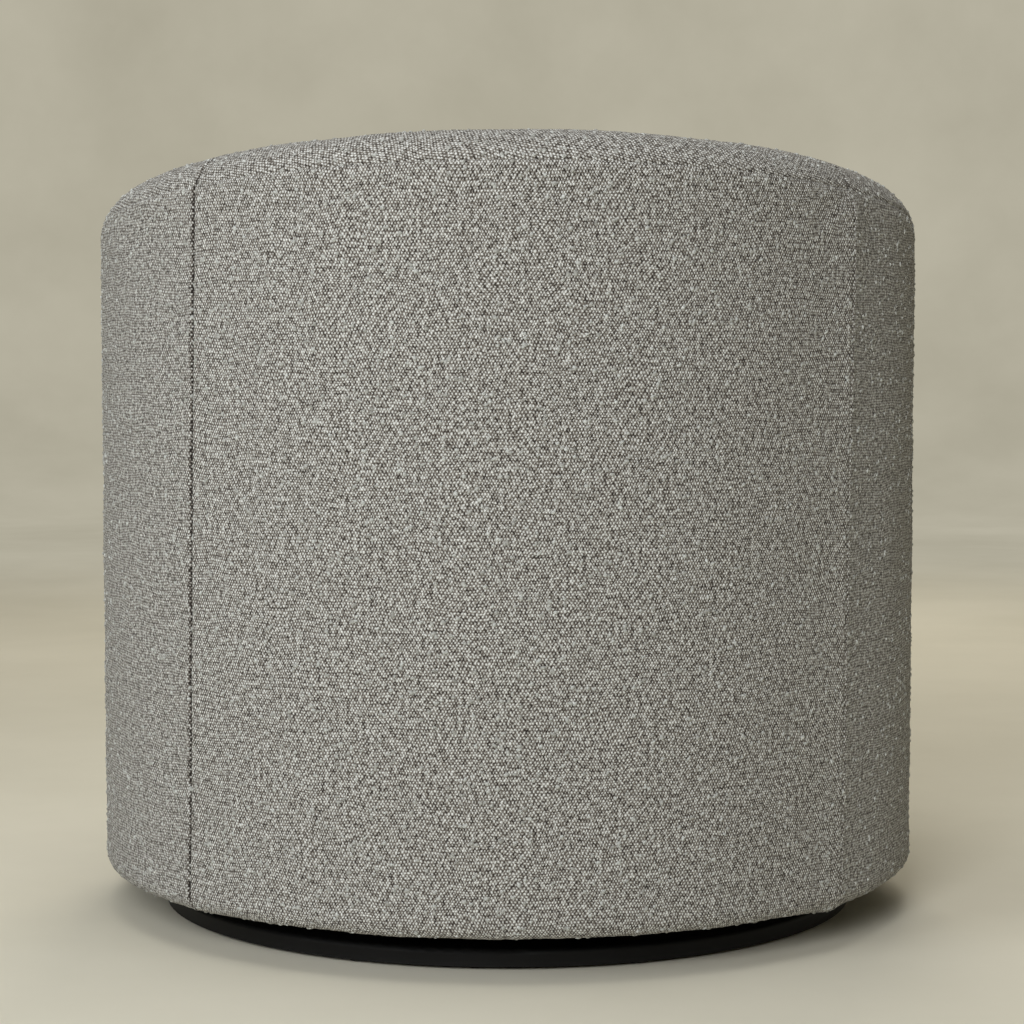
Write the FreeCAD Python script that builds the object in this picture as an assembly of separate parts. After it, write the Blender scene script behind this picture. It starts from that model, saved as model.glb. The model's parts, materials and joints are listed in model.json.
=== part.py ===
import FreeCAD, Part
import math
import os

# Tub chair on a low round base: an upholstered horseshoe shell that turns on a caged ball swivel.
# Millimetres. The origin is on the floor under the swivel axis, +Z is up, the chair faces -Y.
# Angles round the chair are measured from the back (+Y) towards the sitter's left (+X).

os.makedirs("parts", exist_ok=True)

# Finished outside of the shell
OUTER_RADIUS = 375.0
TOTAL_HEIGHT = 690.0
TOP_SLOPE_DEG = 8.3
TOP_ROUND = 38.0
ARM_END_DEG = 125.0
HEM_HEIGHT = 36.0
HEM_ROUND = 15.0
SIDE_SEAM_DEG = 47.7
INNER_SEAM_DEG = 56.0
BAND_DEPTH = 30.0
FRONT_INSET = 6.0
FRONT_TOP_ROUND = 14.0

# Inside of the shell
ARM_THICKNESS = 120.0
INNER_RADIUS = OUTER_RADIUS - ARM_THICKNESS
INNER_SETBACK = 30.0
FLARE_RADIUS = 845.0
DECK_HEIGHT = 300.0
CUSHION_HEIGHT = 130.0
SEAT_EDGE_HEIGHT = DECK_HEIGHT + CUSHION_HEIGHT

# Soft layers and boards
COVER = 2.5
OUTER_WADDING = 8.0
INNER_FOAM = 32.0
TOP_FOAM = 25.0
ARM_FRONT_FOAM = 17.0
BENT_PLY = 4.0
TURN_UNDER = 45.0
CLOTH = 0.8
DUST_COVER_LAP = 20.0

# Timber frame
BASE_BOARD = 18.0
BASE_VENT_RADIUS = 27.0
BASE_VENT_COUNT = 6
BASE_VENT_EDGE = 125.5
BASE_VENT_FIRST_DEG = 30.0
OUTER_BOARD_LIFT = 10.0
UPRIGHT = 18.0
UPRIGHT_ANGLES = (-80.0, -40.0, 0.0, 40.0, 80.0)
FRONT_POST_ANGLES = (152.0, 180.0, 208.0)
FRONT_POST_DEPTH = 60.0
TOP_RAIL = 18.0
SEAT_RAIL = 18.0
RAIL_DROP = 20.0
SEAT_OPENING_WIDTH = 420.0
FRONT_RAIL_DEPTH = 114.5
BACK_RAIL_DEPTH = 160.5

# Elastic seat webbing
WEB_WIDTH = 50.0
WEB_THICKNESS = 1.6
WEB_COUNT = 4
WEB_LAP = 22.0
WEB_EASE = 4.0
WEB_MARGIN = 30.0

# Loose seat cushion
CUSHION_CLEARANCE = 4.0
CUSHION_CROWN = 12.0
CUSHION_CROWN_RADIUS = 200.0
CUSHION_ROUND = 24.0
CUSHION_EAR_ROUND = 34.0
CUSHION_WRAP = 12.0
ZIP_HALF_ANGLE = 52.0
ZIP_PARKED_DEG = 4.0
ZIP_PLACKET = 26.0
ZIP_TAPE = 1.0
ZIP_CHAIN_HEIGHT = 6.0
ZIP_CHAIN_PROUD = 1.2
ZIP_SLIDER_LENGTH = 12.0
ZIP_SLIDER_WALL = 0.8
ZIP_GAP = 0.3
ZIP_PULL_LENGTH = 22.0
ZIP_PULL_WIDTH = 5.0

# Round base on glides
BASE_INSET = 55.0
BASE_RADIUS = OUTER_RADIUS - BASE_INSET
BASE_THICKNESS = 14.5
BASE_EDGE_ROUND = 4.0
GLIDE_COUNT = 8
GLIDE_INSET = 17.0
GLIDE_RADIUS = 11.0
GLIDE_THICKNESS = 3.0
GLIDE_CHAMFER = 0.8
GLIDE_OFFSET_DEG = 25.5
NAIL_RADIUS = 1.2
NAIL_LENGTH = 11.0

# Caged ball swivel
SWIVEL_HEIGHT = 13.0
PLATE_RADIUS = 150.0
PLATE_STEEL = 2.0
PLATE_FLANGE = 22.0
PLATE_STEP = 5.0
PLATE_GAP = 2.8
RACE_RADIUS = 110.0
BALL_RADIUS = 4.0
BALL_COUNT = 10
BALL_CLEARANCE = 0.3
CAGE_THICKNESS = 1.2
CAGE_MARGIN = 4.0
RIVET_RADIUS = 12.0
RIVET_HEAD_RADIUS = 18.0
RIVET_HEAD = 2.0
RUNNING_GAP = 0.4
SPACER_RADIUS = 165.0
SCREW_COUNT = 4
BASE_SCREW_FIRST_DEG = 45.0
SEAT_SCREW_FIRST_DEG = 0.0
SCREW_RADIUS = 2.2
SCREW_HEAD_RADIUS = 4.5
SCREW_HEAD = 2.0
BASE_SCREW_LENGTH = 11.0
SEAT_SCREW_LENGTH = 22.0
ACCESS_HOLE_RADIUS = 9.0

# Heights and offsets that follow from the sizes above
REACH = 4.0 * OUTER_RADIUS
SLOPE = math.radians(TOP_SLOPE_DEG)
ARM_END = math.radians(ARM_END_DEG)
FRAME_SKIN = COVER + OUTER_WADDING
FRAME_OUTER = FRAME_SKIN + BENT_PLY
FRAME_INNER = COVER + INNER_FOAM
FRAME_TOP = COVER + TOP_FOAM
FRAME_END = COVER + ARM_FRONT_FOAM
BASE_BOARD_LOW = HEM_HEIGHT + COVER
BASE_BOARD_TOP = BASE_BOARD_LOW + BASE_BOARD
RAIL_TOP = DECK_HEIGHT - RAIL_DROP
RAIL_LOW = RAIL_TOP - SEAT_RAIL
DECK_PAD_LOW = RAIL_TOP + 1.5 * WEB_THICKNESS
SEAT_OPENING_FRONT = OUTER_RADIUS - FRONT_INSET - FRAME_OUTER - FRONT_RAIL_DEPTH
SEAT_OPENING_BACK = OUTER_RADIUS - FRAME_OUTER - BACK_RAIL_DEPTH
BASE_VENT_CIRCLE = OUTER_RADIUS - FRAME_OUTER - BASE_VENT_EDGE
GLIDE_CIRCLE = BASE_RADIUS - GLIDE_INSET
FLANGE_RADIUS = OUTER_RADIUS - TURN_UNDER
SKIN_SPLIT_RADIUS = OUTER_RADIUS - FRAME_OUTER - 0.5 * UPRIGHT
BASE_TOP = GLIDE_THICKNESS + BASE_THICKNESS
SWIVEL_MIDDLE = BASE_TOP + 0.5 * SWIVEL_HEIGHT
SWIVEL_TOP = BASE_TOP + SWIVEL_HEIGHT
SCREW_CIRCLE = PLATE_RADIUS - 0.5 * PLATE_FLANGE


def point(x, y, z):
    return FreeCAD.Vector(x, y, z)


def round_plan(angle_deg, radius, z):
    """Point at an angle from the back and a distance from the swivel axis."""
    angle = math.radians(angle_deg)
    return point(radius * math.sin(angle), radius * math.cos(angle), z)


def disc(radius, low, high):
    return Part.makeCylinder(radius, high - low, point(0, 0, low))


def ring(inner, outer, low, high):
    return disc(outer, low, high).cut(disc(inner, low - 1, high + 1))


def prism(corners, low, high):
    outline = [point(x, y, low) for x, y in corners + corners[:1]]
    return Part.Face(Part.makePolygon(outline)).extrude(point(0, 0, high - low))


def turned(profile):
    """Solid of revolution about Z from a closed list of (radius, height) corners."""
    outline = [point(r, 0, z) for r, z in profile + profile[:1]]
    return Part.Face(Part.makePolygon(outline)).revolve(point(0, 0, 0), point(0, 0, 1), 360)


def mirrored(shape):
    return shape.mirror(point(0, 0, 0), point(1, 0, 0))


def side_half(sign):
    """Everything on the sitter's left (sign 1) or right (sign -1)."""
    near = min(0.0, sign * REACH)
    return Part.makeBox(REACH, 2 * REACH, REACH, point(near, -REACH, -1))


def back_wedge(half_angle_deg):
    """Everything within an angle of the back, on both sides."""
    half = math.radians(half_angle_deg)
    tip = (0.0, 0.0)
    left = (REACH * math.sin(half), REACH * math.cos(half))
    right = (-left[0], left[1])
    return prism([tip, left, (left[0], REACH), (right[0], REACH), right], -1, REACH)


def radial_slab(angle_deg, thickness, inner, outer, low, high):
    slab = Part.makeBox(thickness, outer - inner, high - low, point(-0.5 * thickness, inner, low))
    slab.rotate(point(0, 0, 0), point(0, 0, 1), -angle_deg)
    return slab


def edge_points(edge):
    first = edge.FirstParameter
    step = (edge.LastParameter - first) / 4.0
    return [edge.valueAt(first + step * k) for k in range(5)]


def edges_where(shape, test):
    return [edge for edge in shape.Edges if all(test(p) for p in edge_points(edge))]


def top_plane_height(y, drop):
    """Height over y of the sloping top plane, or of one that lies a drop below it."""
    crest = TOTAL_HEIGHT + TOP_ROUND * (1 / math.cos(SLOPE) - 1)
    return crest + (y - OUTER_RADIUS + TOP_ROUND) * math.tan(SLOPE) - drop / math.cos(SLOPE)


def above_top(drop):
    """Everything above the plane that lies a drop below the top plane."""
    block = Part.makeBox(2 * REACH, 2 * REACH, 2 * REACH, point(-REACH, -REACH, 0))
    block.rotate(point(0, 0, 0), point(1, 0, 0), TOP_SLOPE_DEG)
    block.translate(point(0, 0, top_plane_height(0, drop)))
    return block


def front_gap(offset):
    """The open front between the arm ends, widened into the arms by an offset."""
    tip = offset / math.sin(ARM_END)
    x = REACH * math.sin(ARM_END)
    y = tip + REACH * math.cos(ARM_END)
    return prism([(0.0, tip), (x, y), (x, -2 * REACH), (-x, -2 * REACH), (-x, y)], -1, REACH)


def seat_space(offset, low):
    """The space inside the shell: a round well that flares above the seat edge."""
    radius = INNER_RADIUS + offset
    flare = FLARE_RADIUS - offset
    high = TOTAL_HEIGHT + 2 * TOP_ROUND
    centre = radius + flare
    turn = math.asin((high - SEAT_EDGE_HEIGHT) / flare)
    rim = point(centre - flare * math.cos(turn), 0, high)
    bend = SEAT_EDGE_HEIGHT + flare * math.sin(0.5 * turn)
    middle = point(centre - flare * math.cos(0.5 * turn), 0, bend)
    edge = point(radius, 0, SEAT_EDGE_HEIGHT)
    outline = [
        Part.makeLine(point(0, 0, low), point(radius, 0, low)),
        Part.makeLine(point(radius, 0, low), edge),
        Part.Arc(edge, middle, rim).toShape(),
        Part.makeLine(rim, point(0, 0, high)),
        Part.makeLine(point(0, 0, high), point(0, 0, low)),
    ]
    space = Part.Face(Part.Wire(outline)).revolve(point(0, 0, 0), point(0, 0, 1), 360)
    space.translate(point(0, -INNER_SETBACK, 0))
    return space


def horseshoe(outer, inner, top, end, low):
    """The shell's wall with plain edges, drawn in from each finished face by its own offset."""
    wall = disc(OUTER_RADIUS - outer, low, REACH)
    return wall.cut([seat_space(inner, low - 1), front_gap(end), above_top(top)])


def on_arm_end(p, offset):
    return abs(abs(p.x) * math.cos(ARM_END) - p.y * math.sin(ARM_END) + offset) < 0.01


def on_top_plane(p, offset):
    return abs(p.z - top_plane_height(p.y, offset)) < 0.01


def arm_top_width():
    """Thickness of the arm's end where it is thinnest, at its top."""
    end_y = OUTER_RADIUS * math.cos(ARM_END)
    rise = top_plane_height(end_y, 0) - SEAT_EDGE_HEIGHT
    radius = INNER_RADIUS + FLARE_RADIUS - math.sqrt(FLARE_RADIUS ** 2 - rise ** 2)
    along = -INNER_SETBACK * math.cos(ARM_END)
    across = INNER_SETBACK * math.sin(ARM_END)
    return OUTER_RADIUS - along - math.sqrt(radius ** 2 - across ** 2)


def finished_wall(offset):
    """The horseshoe with its rounded top, arm ends and hem, at an offset under the finished face."""
    low = HEM_HEIGHT + offset
    wall = horseshoe(offset, offset, offset, offset, low)
    soft = min(TOP_ROUND, 0.48 * arm_top_width()) - offset
    rims = edges_where(wall, lambda p: on_top_plane(p, offset))
    ends = edges_where(wall, lambda p: on_arm_end(p, offset))
    upright_ends = [e for e in ends if abs(e.Vertexes[0].Z - e.Vertexes[-1].Z) > TOP_ROUND]
    wall = wall.makeFillet(soft, rims + upright_ends)
    radius = OUTER_RADIUS - offset
    hem = edges_where(wall, lambda p: abs(p.z - low) < 0.01 and abs(math.hypot(p.x, p.y) - radius) < 0.01)
    return wall.makeFillet(HEM_ROUND - offset, hem)


def front_drum(offset):
    """The round front below the seat, at an offset under the finished face."""
    low = HEM_HEIGHT + offset
    high = DECK_HEIGHT - offset
    radius = OUTER_RADIUS - FRONT_INSET - offset
    drum = disc(radius, low, high)
    drum = drum.makeFillet(HEM_ROUND - offset, edges_where(drum, lambda p: abs(p.z - low) < 0.01))
    return drum.makeFillet(FRONT_TOP_ROUND - offset, edges_where(drum, lambda p: abs(p.z - high) < 0.01))


def frame_plan(offset, low, high):
    """Full round plan of the frame, stepped in at the front where the front panel is set back."""
    front = front_gap(FRAME_END).cut(disc(OUTER_RADIUS - FRONT_INSET - offset, low - 1, high + 1))
    return disc(OUTER_RADIUS - offset, low, high).cut(front)


FINISHED = finished_wall(0)
UNDER_COVER = finished_wall(COVER)
BEHIND_PANEL = disc(OUTER_RADIUS - FRONT_INSET, 0, RAIL_TOP)
BEHIND_PANEL = BEHIND_PANEL.common(front_gap(TOP_ROUND))
SKIN = FINISHED.cut(UNDER_COVER).cut([disc(FLANGE_RADIUS, 0, DECK_PAD_LOW), BEHIND_PANEL])


def cover_panels():
    """Sewn cover panels of the shell: outside, top band running down the arm fronts, and inside."""
    band_zone = above_top(BAND_DEPTH).fuse(front_gap(BAND_DEPTH))
    band = SKIN.common(band_zone)
    rest = SKIN.cut(band_zone)
    core = disc(SKIN_SPLIT_RADIUS, RAIL_LOW, REACH)
    outside = rest.cut(core)
    inside = rest.common(core)
    back = back_wedge(SIDE_SEAM_DEG)
    inner_back = back_wedge(INNER_SEAM_DEG)
    panels = {
        "outside_back_cover": outside.common(back),
        "top_band_back": band.common(back),
        "inside_back_cover": inside.common(inner_back),
    }
    for side, sign in (("left", 1), ("right", -1)):
        half = side_half(sign)
        panels["outside_arm_cover_" + side] = outside.cut(back).common(half)
        panels["top_band_" + side] = band.cut(back).common(half)
        panels["inside_arm_cover_" + side] = inside.cut(inner_back).common(half)
    return panels


def front_panel_cover():
    panel = front_drum(0).cut(front_drum(COVER)).common(front_gap(TOP_ROUND))
    return panel.cut([FINISHED, disc(FLANGE_RADIUS, 0, DECK_HEIGHT + 1)])


def wall_padding():
    """Wadding outside, foam over the top, inside and on the arm fronts."""
    core = horseshoe(FRAME_SKIN, FRAME_INNER, FRAME_TOP, FRAME_END, 0)
    soft = UNDER_COVER.cut([core, frame_plan(FRAME_SKIN, 0, DECK_PAD_LOW), BEHIND_PANEL])
    top = above_top(FRAME_TOP)
    ends = front_gap(FRAME_END)
    split = disc(SKIN_SPLIT_RADIUS, 0, REACH)
    sides = soft.cut([top, ends])
    inside = sides.common(split)
    inner_back = back_wedge(INNER_SEAM_DEG)
    padding = {
        "outer_wadding": sides.cut(split),
        "top_foam": soft.common(top),
        "inside_back_foam": inside.common(inner_back),
    }
    for side, sign in (("left", 1), ("right", -1)):
        half = side_half(sign)
        padding["inside_arm_foam_" + side] = inside.cut(inner_back).common(half)
        padding["arm_front_foam_" + side] = soft.cut(top).common(ends).common(half)
    return padding


def front_wadding():
    core = frame_plan(FRAME_SKIN, 0, RAIL_TOP)
    soft = front_drum(COVER).cut([core, FINISHED]).common(front_gap(TOP_ROUND))
    return soft.cut(disc(seat_front_radius(FRONT_TOP_ROUND), RAIL_TOP - 1, DECK_HEIGHT + 1))


def bent_boards():
    """Bent plywood: outside, inside and front of the frame."""
    low = BASE_BOARD_LOW + OUTER_BOARD_LIFT
    outer = ring(OUTER_RADIUS - FRAME_OUTER, OUTER_RADIUS - FRAME_SKIN, low, REACH)
    outer = outer.cut([front_gap(FRAME_END), above_top(FRAME_TOP)])
    inner = seat_space(FRAME_INNER + BENT_PLY, DECK_PAD_LOW).cut(seat_space(FRAME_INNER, DECK_PAD_LOW - 1))
    inner = inner.cut([front_gap(FRAME_END), above_top(FRAME_TOP)])
    front_radius = OUTER_RADIUS - FRONT_INSET - FRAME_OUTER
    front = ring(front_radius, front_radius + BENT_PLY, low, RAIL_TOP).common(front_gap(FRAME_END))
    return {"outer_board": outer, "inner_board": inner, "front_board": front}


def frame_cavity():
    """Room between the inner and outer boards, above the base board."""
    return horseshoe(FRAME_OUTER, FRAME_INNER + BENT_PLY, FRAME_TOP, FRAME_END, BASE_BOARD_TOP)


def frame_pieces():
    cavity = frame_cavity()
    rail_underside = above_top(FRAME_TOP + TOP_RAIL)
    pieces = {"top_rail": cavity.common(rail_underside)}
    below = cavity.cut(rail_underside)
    names = ("right", "back_right", "back", "back_left", "left")
    for name, angle in zip(names, UPRIGHT_ANGLES):
        slab = radial_slab(angle, UPRIGHT, 0, OUTER_RADIUS, 0, REACH)
        pieces["upright_" + name] = below.common(slab)
    posts = below.common(front_gap(FRAME_END + UPRIGHT))
    for side, sign in (("left", 1), ("right", -1)):
        pieces["arm_post_" + side] = posts.common(side_half(sign))
    return pieces


def front_posts():
    outer = OUTER_RADIUS - FRONT_INSET - FRAME_OUTER
    reach = disc(outer, 0, REACH)
    posts = []
    for angle in FRONT_POST_ANGLES:
        slab = radial_slab(angle, UPRIGHT, outer - FRONT_POST_DEPTH, OUTER_RADIUS, BASE_BOARD_TOP, RAIL_LOW)
        posts.append(slab.common(reach))
    return Part.makeCompound(posts)


def seat_rails(uprights):
    """Four flat rails round the webbed opening, notched round the uprights."""
    half = 0.5 * SEAT_OPENING_WIDTH
    plate = frame_plan(FRAME_OUTER, RAIL_LOW, RAIL_TOP).cut(uprights)
    span = Part.makeBox(2 * half, 2 * REACH, REACH, point(-half, -REACH, 0))
    front = Part.makeBox(2 * half, REACH, REACH, point(-half, -REACH - SEAT_OPENING_FRONT, 0))
    back = Part.makeBox(2 * half, REACH, REACH, point(-half, SEAT_OPENING_BACK, 0))
    sides = plate.cut(span)
    return {
        "seat_rail_front": largest(plate.common(front)),
        "seat_rail_back": largest(plate.common(back)),
        "seat_rail_left": largest(sides.common(side_half(1))),
        "seat_rail_right": largest(sides.common(side_half(-1))),
    }


def largest(shape):
    return max(shape.Solids, key=lambda solid: solid.Volume)


def base_board():
    board = frame_plan(FRAME_OUTER, BASE_BOARD_LOW, BASE_BOARD_TOP)
    hem = disc(OUTER_RADIUS - COVER, BASE_BOARD_LOW, REACH)
    hem = hem.makeFillet(HEM_ROUND - COVER, edges_where(hem, lambda p: p.z < BASE_BOARD_TOP))
    board = largest(board.common(hem).cut(SKIN))
    holes = []
    for k in range(BASE_VENT_COUNT):
        vent = disc(BASE_VENT_RADIUS, BASE_BOARD_LOW - 1, BASE_BOARD_TOP + 1)
        vent.translate(round_plan(BASE_VENT_FIRST_DEG + 360.0 * k / BASE_VENT_COUNT, BASE_VENT_CIRCLE, 0))
        holes.append(vent)
    return board.cut(holes + seat_screw_shanks())


def strap(low, high, crossings, first_over):
    """One strap along X, lying on the rails past low and high and woven through its crossings between."""
    step = 0.5 * WEB_THICKNESS
    level = RAIL_TOP + step
    path = [(low - WEB_LAP, level), (low, level)]
    over = first_over
    for crossing in crossings:
        height = level + (step if over else -step)
        half = 0.5 * WEB_WIDTH + WEB_EASE
        path += [(crossing - half, height), (crossing + half, height)]
        over = not over
    path += [(high, level), (high + WEB_LAP, level)]
    upper = [point(x, 0, z + step) for x, z in path]
    lower = [point(x, 0, z - step) for x, z in reversed(path)]
    face = Part.Face(Part.makePolygon(upper + lower + upper[:1]))
    solid = face.extrude(point(0, WEB_WIDTH, 0))
    solid.translate(point(0, -0.5 * WEB_WIDTH, 0))
    return solid


def spread(low, high, count):
    pitch = (high - low) / count
    return [low + pitch * (k + 0.5) for k in range(count)]


def webbing():
    half = 0.5 * SEAT_OPENING_WIDTH
    columns = spread(WEB_MARGIN - half, half - WEB_MARGIN, WEB_COUNT)
    rows = spread(-SEAT_OPENING_FRONT, SEAT_OPENING_BACK, WEB_COUNT)
    across = []
    along = []
    for k, row in enumerate(rows):
        web = strap(-half, half, columns, k % 2 == 0)
        web.translate(point(0, row, 0))
        across.append(web)
    for k, column in enumerate(columns):
        web = strap(-SEAT_OPENING_FRONT, SEAT_OPENING_BACK, rows, k % 2 == 1)
        web.rotate(point(0, 0, 0), point(0, 0, 1), 90)
        web.translate(point(column, 0, 0))
        along.append(web)
    return Part.makeCompound(across), Part.makeCompound(along)


def seat_front_radius(inset):
    return OUTER_RADIUS - FRONT_INSET - inset


def seat_plan(clear, front_radius, low, high):
    """T-shaped plan of the seat: the round well, and ears in front of the arm ends."""
    well = Part.makeCylinder(INNER_RADIUS - clear, high - low, point(0, -INNER_SETBACK, low))
    ears = disc(front_radius, low, high).common(front_gap(-clear))
    return well.fuse(ears).removeSplitter()


def deck():
    """Felt pad over the webbing, and the platform cloth over it."""
    high = DECK_HEIGHT - COVER
    pad = seat_plan(0, seat_front_radius(FRONT_TOP_ROUND), DECK_PAD_LOW, high)
    cloth = seat_plan(0, FLANGE_RADIUS, high, DECK_HEIGHT)
    return pad, cloth


def upright_edges(shape, low, high):
    """Vertical corner edges of a plan extruded between two heights."""
    found = []
    for edge in shape.Edges:
        ends = sorted((edge.Vertexes[0].Z, edge.Vertexes[-1].Z))
        if abs(ends[0] - low) < 0.01 and abs(ends[1] - high) < 0.01:
            found.append(edge)
    return found


def cushion(offset, soft_edges):
    """The loose T cushion at an offset under its finished face, with a crown on its flat top."""
    low = DECK_HEIGHT + offset
    high = SEAT_EDGE_HEIGHT - offset
    body = seat_plan(CUSHION_CLEARANCE + offset, OUTER_RADIUS - offset, low, high)
    corners = upright_edges(body, low, high)
    notch = [e for e in corners if e.Vertexes[0].Y > -0.5 * OUTER_RADIUS]
    ears = [e for e in corners if e.Vertexes[0].Y <= -0.5 * OUTER_RADIUS]
    body = body.makeFillet(TOP_ROUND + CUSHION_CLEARANCE + offset, notch)
    body = body.makeFillet(CUSHION_EAR_ROUND - offset, edges_at(body, ears))
    if soft_edges:
        rims = edges_where(body, lambda p: min(abs(p.z - low), abs(p.z - high)) < 0.01)
        body = body.makeFillet(CUSHION_ROUND - offset, rims)
    dome = (CUSHION_CROWN_RADIUS ** 2 + CUSHION_CROWN ** 2) / (2 * CUSHION_CROWN)
    middle_y = 0.5 * (INNER_RADIUS - INNER_SETBACK - OUTER_RADIUS)
    centre = point(0, middle_y, SEAT_EDGE_HEIGHT + CUSHION_CROWN - dome)
    crown = Part.makeSphere(dome - offset, centre).common(disc(REACH, high, REACH))
    return body.fuse(crown)


def edges_at(shape, originals):
    """The edges of a shape that lie where the original edges were."""
    places = [(e.Vertexes[0].X, e.Vertexes[0].Y) for e in originals]
    found = []
    for edge in shape.Edges:
        a = edge.Vertexes[0]
        b = edge.Vertexes[-1]
        if abs(a.Z - b.Z) < 1:
            continue
        if any(math.hypot(a.X - x, a.Y - y) + math.hypot(b.X - x, b.Y - y) < 0.02 for x, y in places):
            found.append(edge)
    return found


def arc_band(inner, outer, low, high, half_angle_deg):
    """A band on the back of the cushion, round the centre of the seat well."""
    band = ring(inner, outer, low, high).common(back_wedge(half_angle_deg))
    band.translate(point(0, -INNER_SETBACK, 0))
    return band


def cushion_pieces():
    outside = cushion(0, True)
    inside = cushion(COVER, True)
    core = cushion(COVER + CUSHION_WRAP, False)
    skin = outside.cut(inside)
    middle = 0.5 * (DECK_HEIGHT + SEAT_EDGE_HEIGHT)
    radius = INNER_RADIUS - CUSHION_CLEARANCE
    low = middle - 0.5 * ZIP_PLACKET
    high = middle + 0.5 * ZIP_PLACKET
    placket = arc_band(radius - 2 * COVER, radius + 1, low, high, ZIP_HALF_ANGLE)
    lower = disc(REACH, 0, DECK_HEIGHT + CUSHION_ROUND)
    upper = disc(REACH, SEAT_EDGE_HEIGHT - CUSHION_ROUND, REACH)
    tape_outer = radius - COVER + ZIP_TAPE
    tape = arc_band(radius - COVER, tape_outer, low, high, ZIP_HALF_ANGLE)
    chain_low = middle - 0.5 * ZIP_CHAIN_HEIGHT
    chain_high = middle + 0.5 * ZIP_CHAIN_HEIGHT
    chain = arc_band(tape_outer, tape_outer + ZIP_CHAIN_PROUD, chain_low, chain_high, ZIP_HALF_ANGLE)
    return {
        "cushion_core": core,
        "cushion_wrap": inside.cut(core),
        "cushion_cover_top": skin.common(upper),
        "cushion_cover_bottom": skin.common(lower),
        "cushion_boxing": skin.cut([upper, lower, placket]),
        "zip_tape": tape,
        "zip_chain": chain,
    }


def zip_slider():
    """Slider that straddles the zip chain, with its pull hanging behind the cushion."""
    middle = 0.5 * (DECK_HEIGHT + SEAT_EDGE_HEIGHT)
    radius = INNER_RADIUS - CUSHION_CLEARANCE - COVER + ZIP_TAPE
    half = 0.5 * ZIP_CHAIN_HEIGHT + ZIP_GAP
    half_turn = math.degrees(0.5 * ZIP_SLIDER_LENGTH / radius)
    outer = radius + ZIP_CHAIN_PROUD + ZIP_GAP
    body = arc_band(radius + ZIP_GAP, outer + ZIP_SLIDER_WALL, middle - half - ZIP_SLIDER_WALL,
                    middle + half + ZIP_SLIDER_WALL, half_turn)
    channel = arc_band(radius, outer, middle - half, middle + half, 2 * half_turn)
    pull_high = middle - half - ZIP_SLIDER_WALL
    pull = Part.makeBox(ZIP_PULL_WIDTH, ZIP_SLIDER_WALL, ZIP_PULL_LENGTH,
                        point(-0.5 * ZIP_PULL_WIDTH, -INNER_SETBACK + outer, pull_high - ZIP_PULL_LENGTH))
    turn = ZIP_PARKED_DEG - ZIP_HALF_ANGLE
    pieces = []
    for piece in (body.cut(channel), pull):
        piece.rotate(point(0, -INNER_SETBACK, 0), point(0, 0, 1), -turn)
        pieces.append(piece)
    return pieces


def dust_cover():
    outer = FLANGE_RADIUS + DUST_COVER_LAP
    return ring(SPACER_RADIUS, outer, HEM_HEIGHT - CLOTH, HEM_HEIGHT)


def around(shape, circle, count, first_deg):
    copies = []
    for k in range(count):
        copy = shape.copy()
        copy.translate(round_plan(first_deg + 360.0 * k / count, circle, 0))
        copies.append(copy)
    return copies


def plate_screws(radius, low, high, first_deg):
    """One stretch of the screws that hold a swivel plate, in a ring through its flange."""
    return around(disc(radius, low, high), SCREW_CIRCLE, SCREW_COUNT, first_deg)


def base_screw_shanks():
    high = BASE_TOP + PLATE_STEEL
    return plate_screws(SCREW_RADIUS, high - BASE_SCREW_LENGTH, high, BASE_SCREW_FIRST_DEG)


def seat_screw_shanks():
    low = SWIVEL_TOP - PLATE_STEEL
    return plate_screws(SCREW_RADIUS, low, low + SEAT_SCREW_LENGTH, SEAT_SCREW_FIRST_DEG)


def base_screws():
    low = BASE_TOP + PLATE_STEEL
    heads = plate_screws(SCREW_HEAD_RADIUS, low, low + SCREW_HEAD, BASE_SCREW_FIRST_DEG)
    return Part.makeCompound([s.fuse(h).removeSplitter() for s, h in zip(base_screw_shanks(), heads)])


def seat_screws():
    high = SWIVEL_TOP - PLATE_STEEL
    heads = plate_screws(SCREW_HEAD_RADIUS, high - SCREW_HEAD, high, SEAT_SCREW_FIRST_DEG)
    return Part.makeCompound([s.fuse(h).removeSplitter() for s, h in zip(seat_screw_shanks(), heads)])


def access_hole():
    hole = disc(ACCESS_HOLE_RADIUS, 0, SWIVEL_MIDDLE)
    hole.translate(round_plan(180, SCREW_CIRCLE, 0))
    return hole


def glide_nail_shanks():
    high = GLIDE_THICKNESS + NAIL_LENGTH
    return around(disc(NAIL_RADIUS, GLIDE_THICKNESS, high), GLIDE_CIRCLE, GLIDE_COUNT, GLIDE_OFFSET_DEG)


def base_disc():
    board = disc(BASE_RADIUS, GLIDE_THICKNESS, BASE_TOP)
    rim = edges_where(board, lambda p: abs(p.z - BASE_TOP) < 0.01)
    board = board.makeFillet(BASE_EDGE_ROUND, rim)
    return board.cut(base_screw_shanks() + glide_nail_shanks() + [access_hole()])


def glides():
    pad = disc(GLIDE_RADIUS, 0, GLIDE_THICKNESS)
    pad = pad.makeChamfer(GLIDE_CHAMFER, edges_where(pad, lambda p: abs(p.z) < 0.01))
    return Part.makeCompound(around(pad, GLIDE_CIRCLE, GLIDE_COUNT, GLIDE_OFFSET_DEG))


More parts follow.
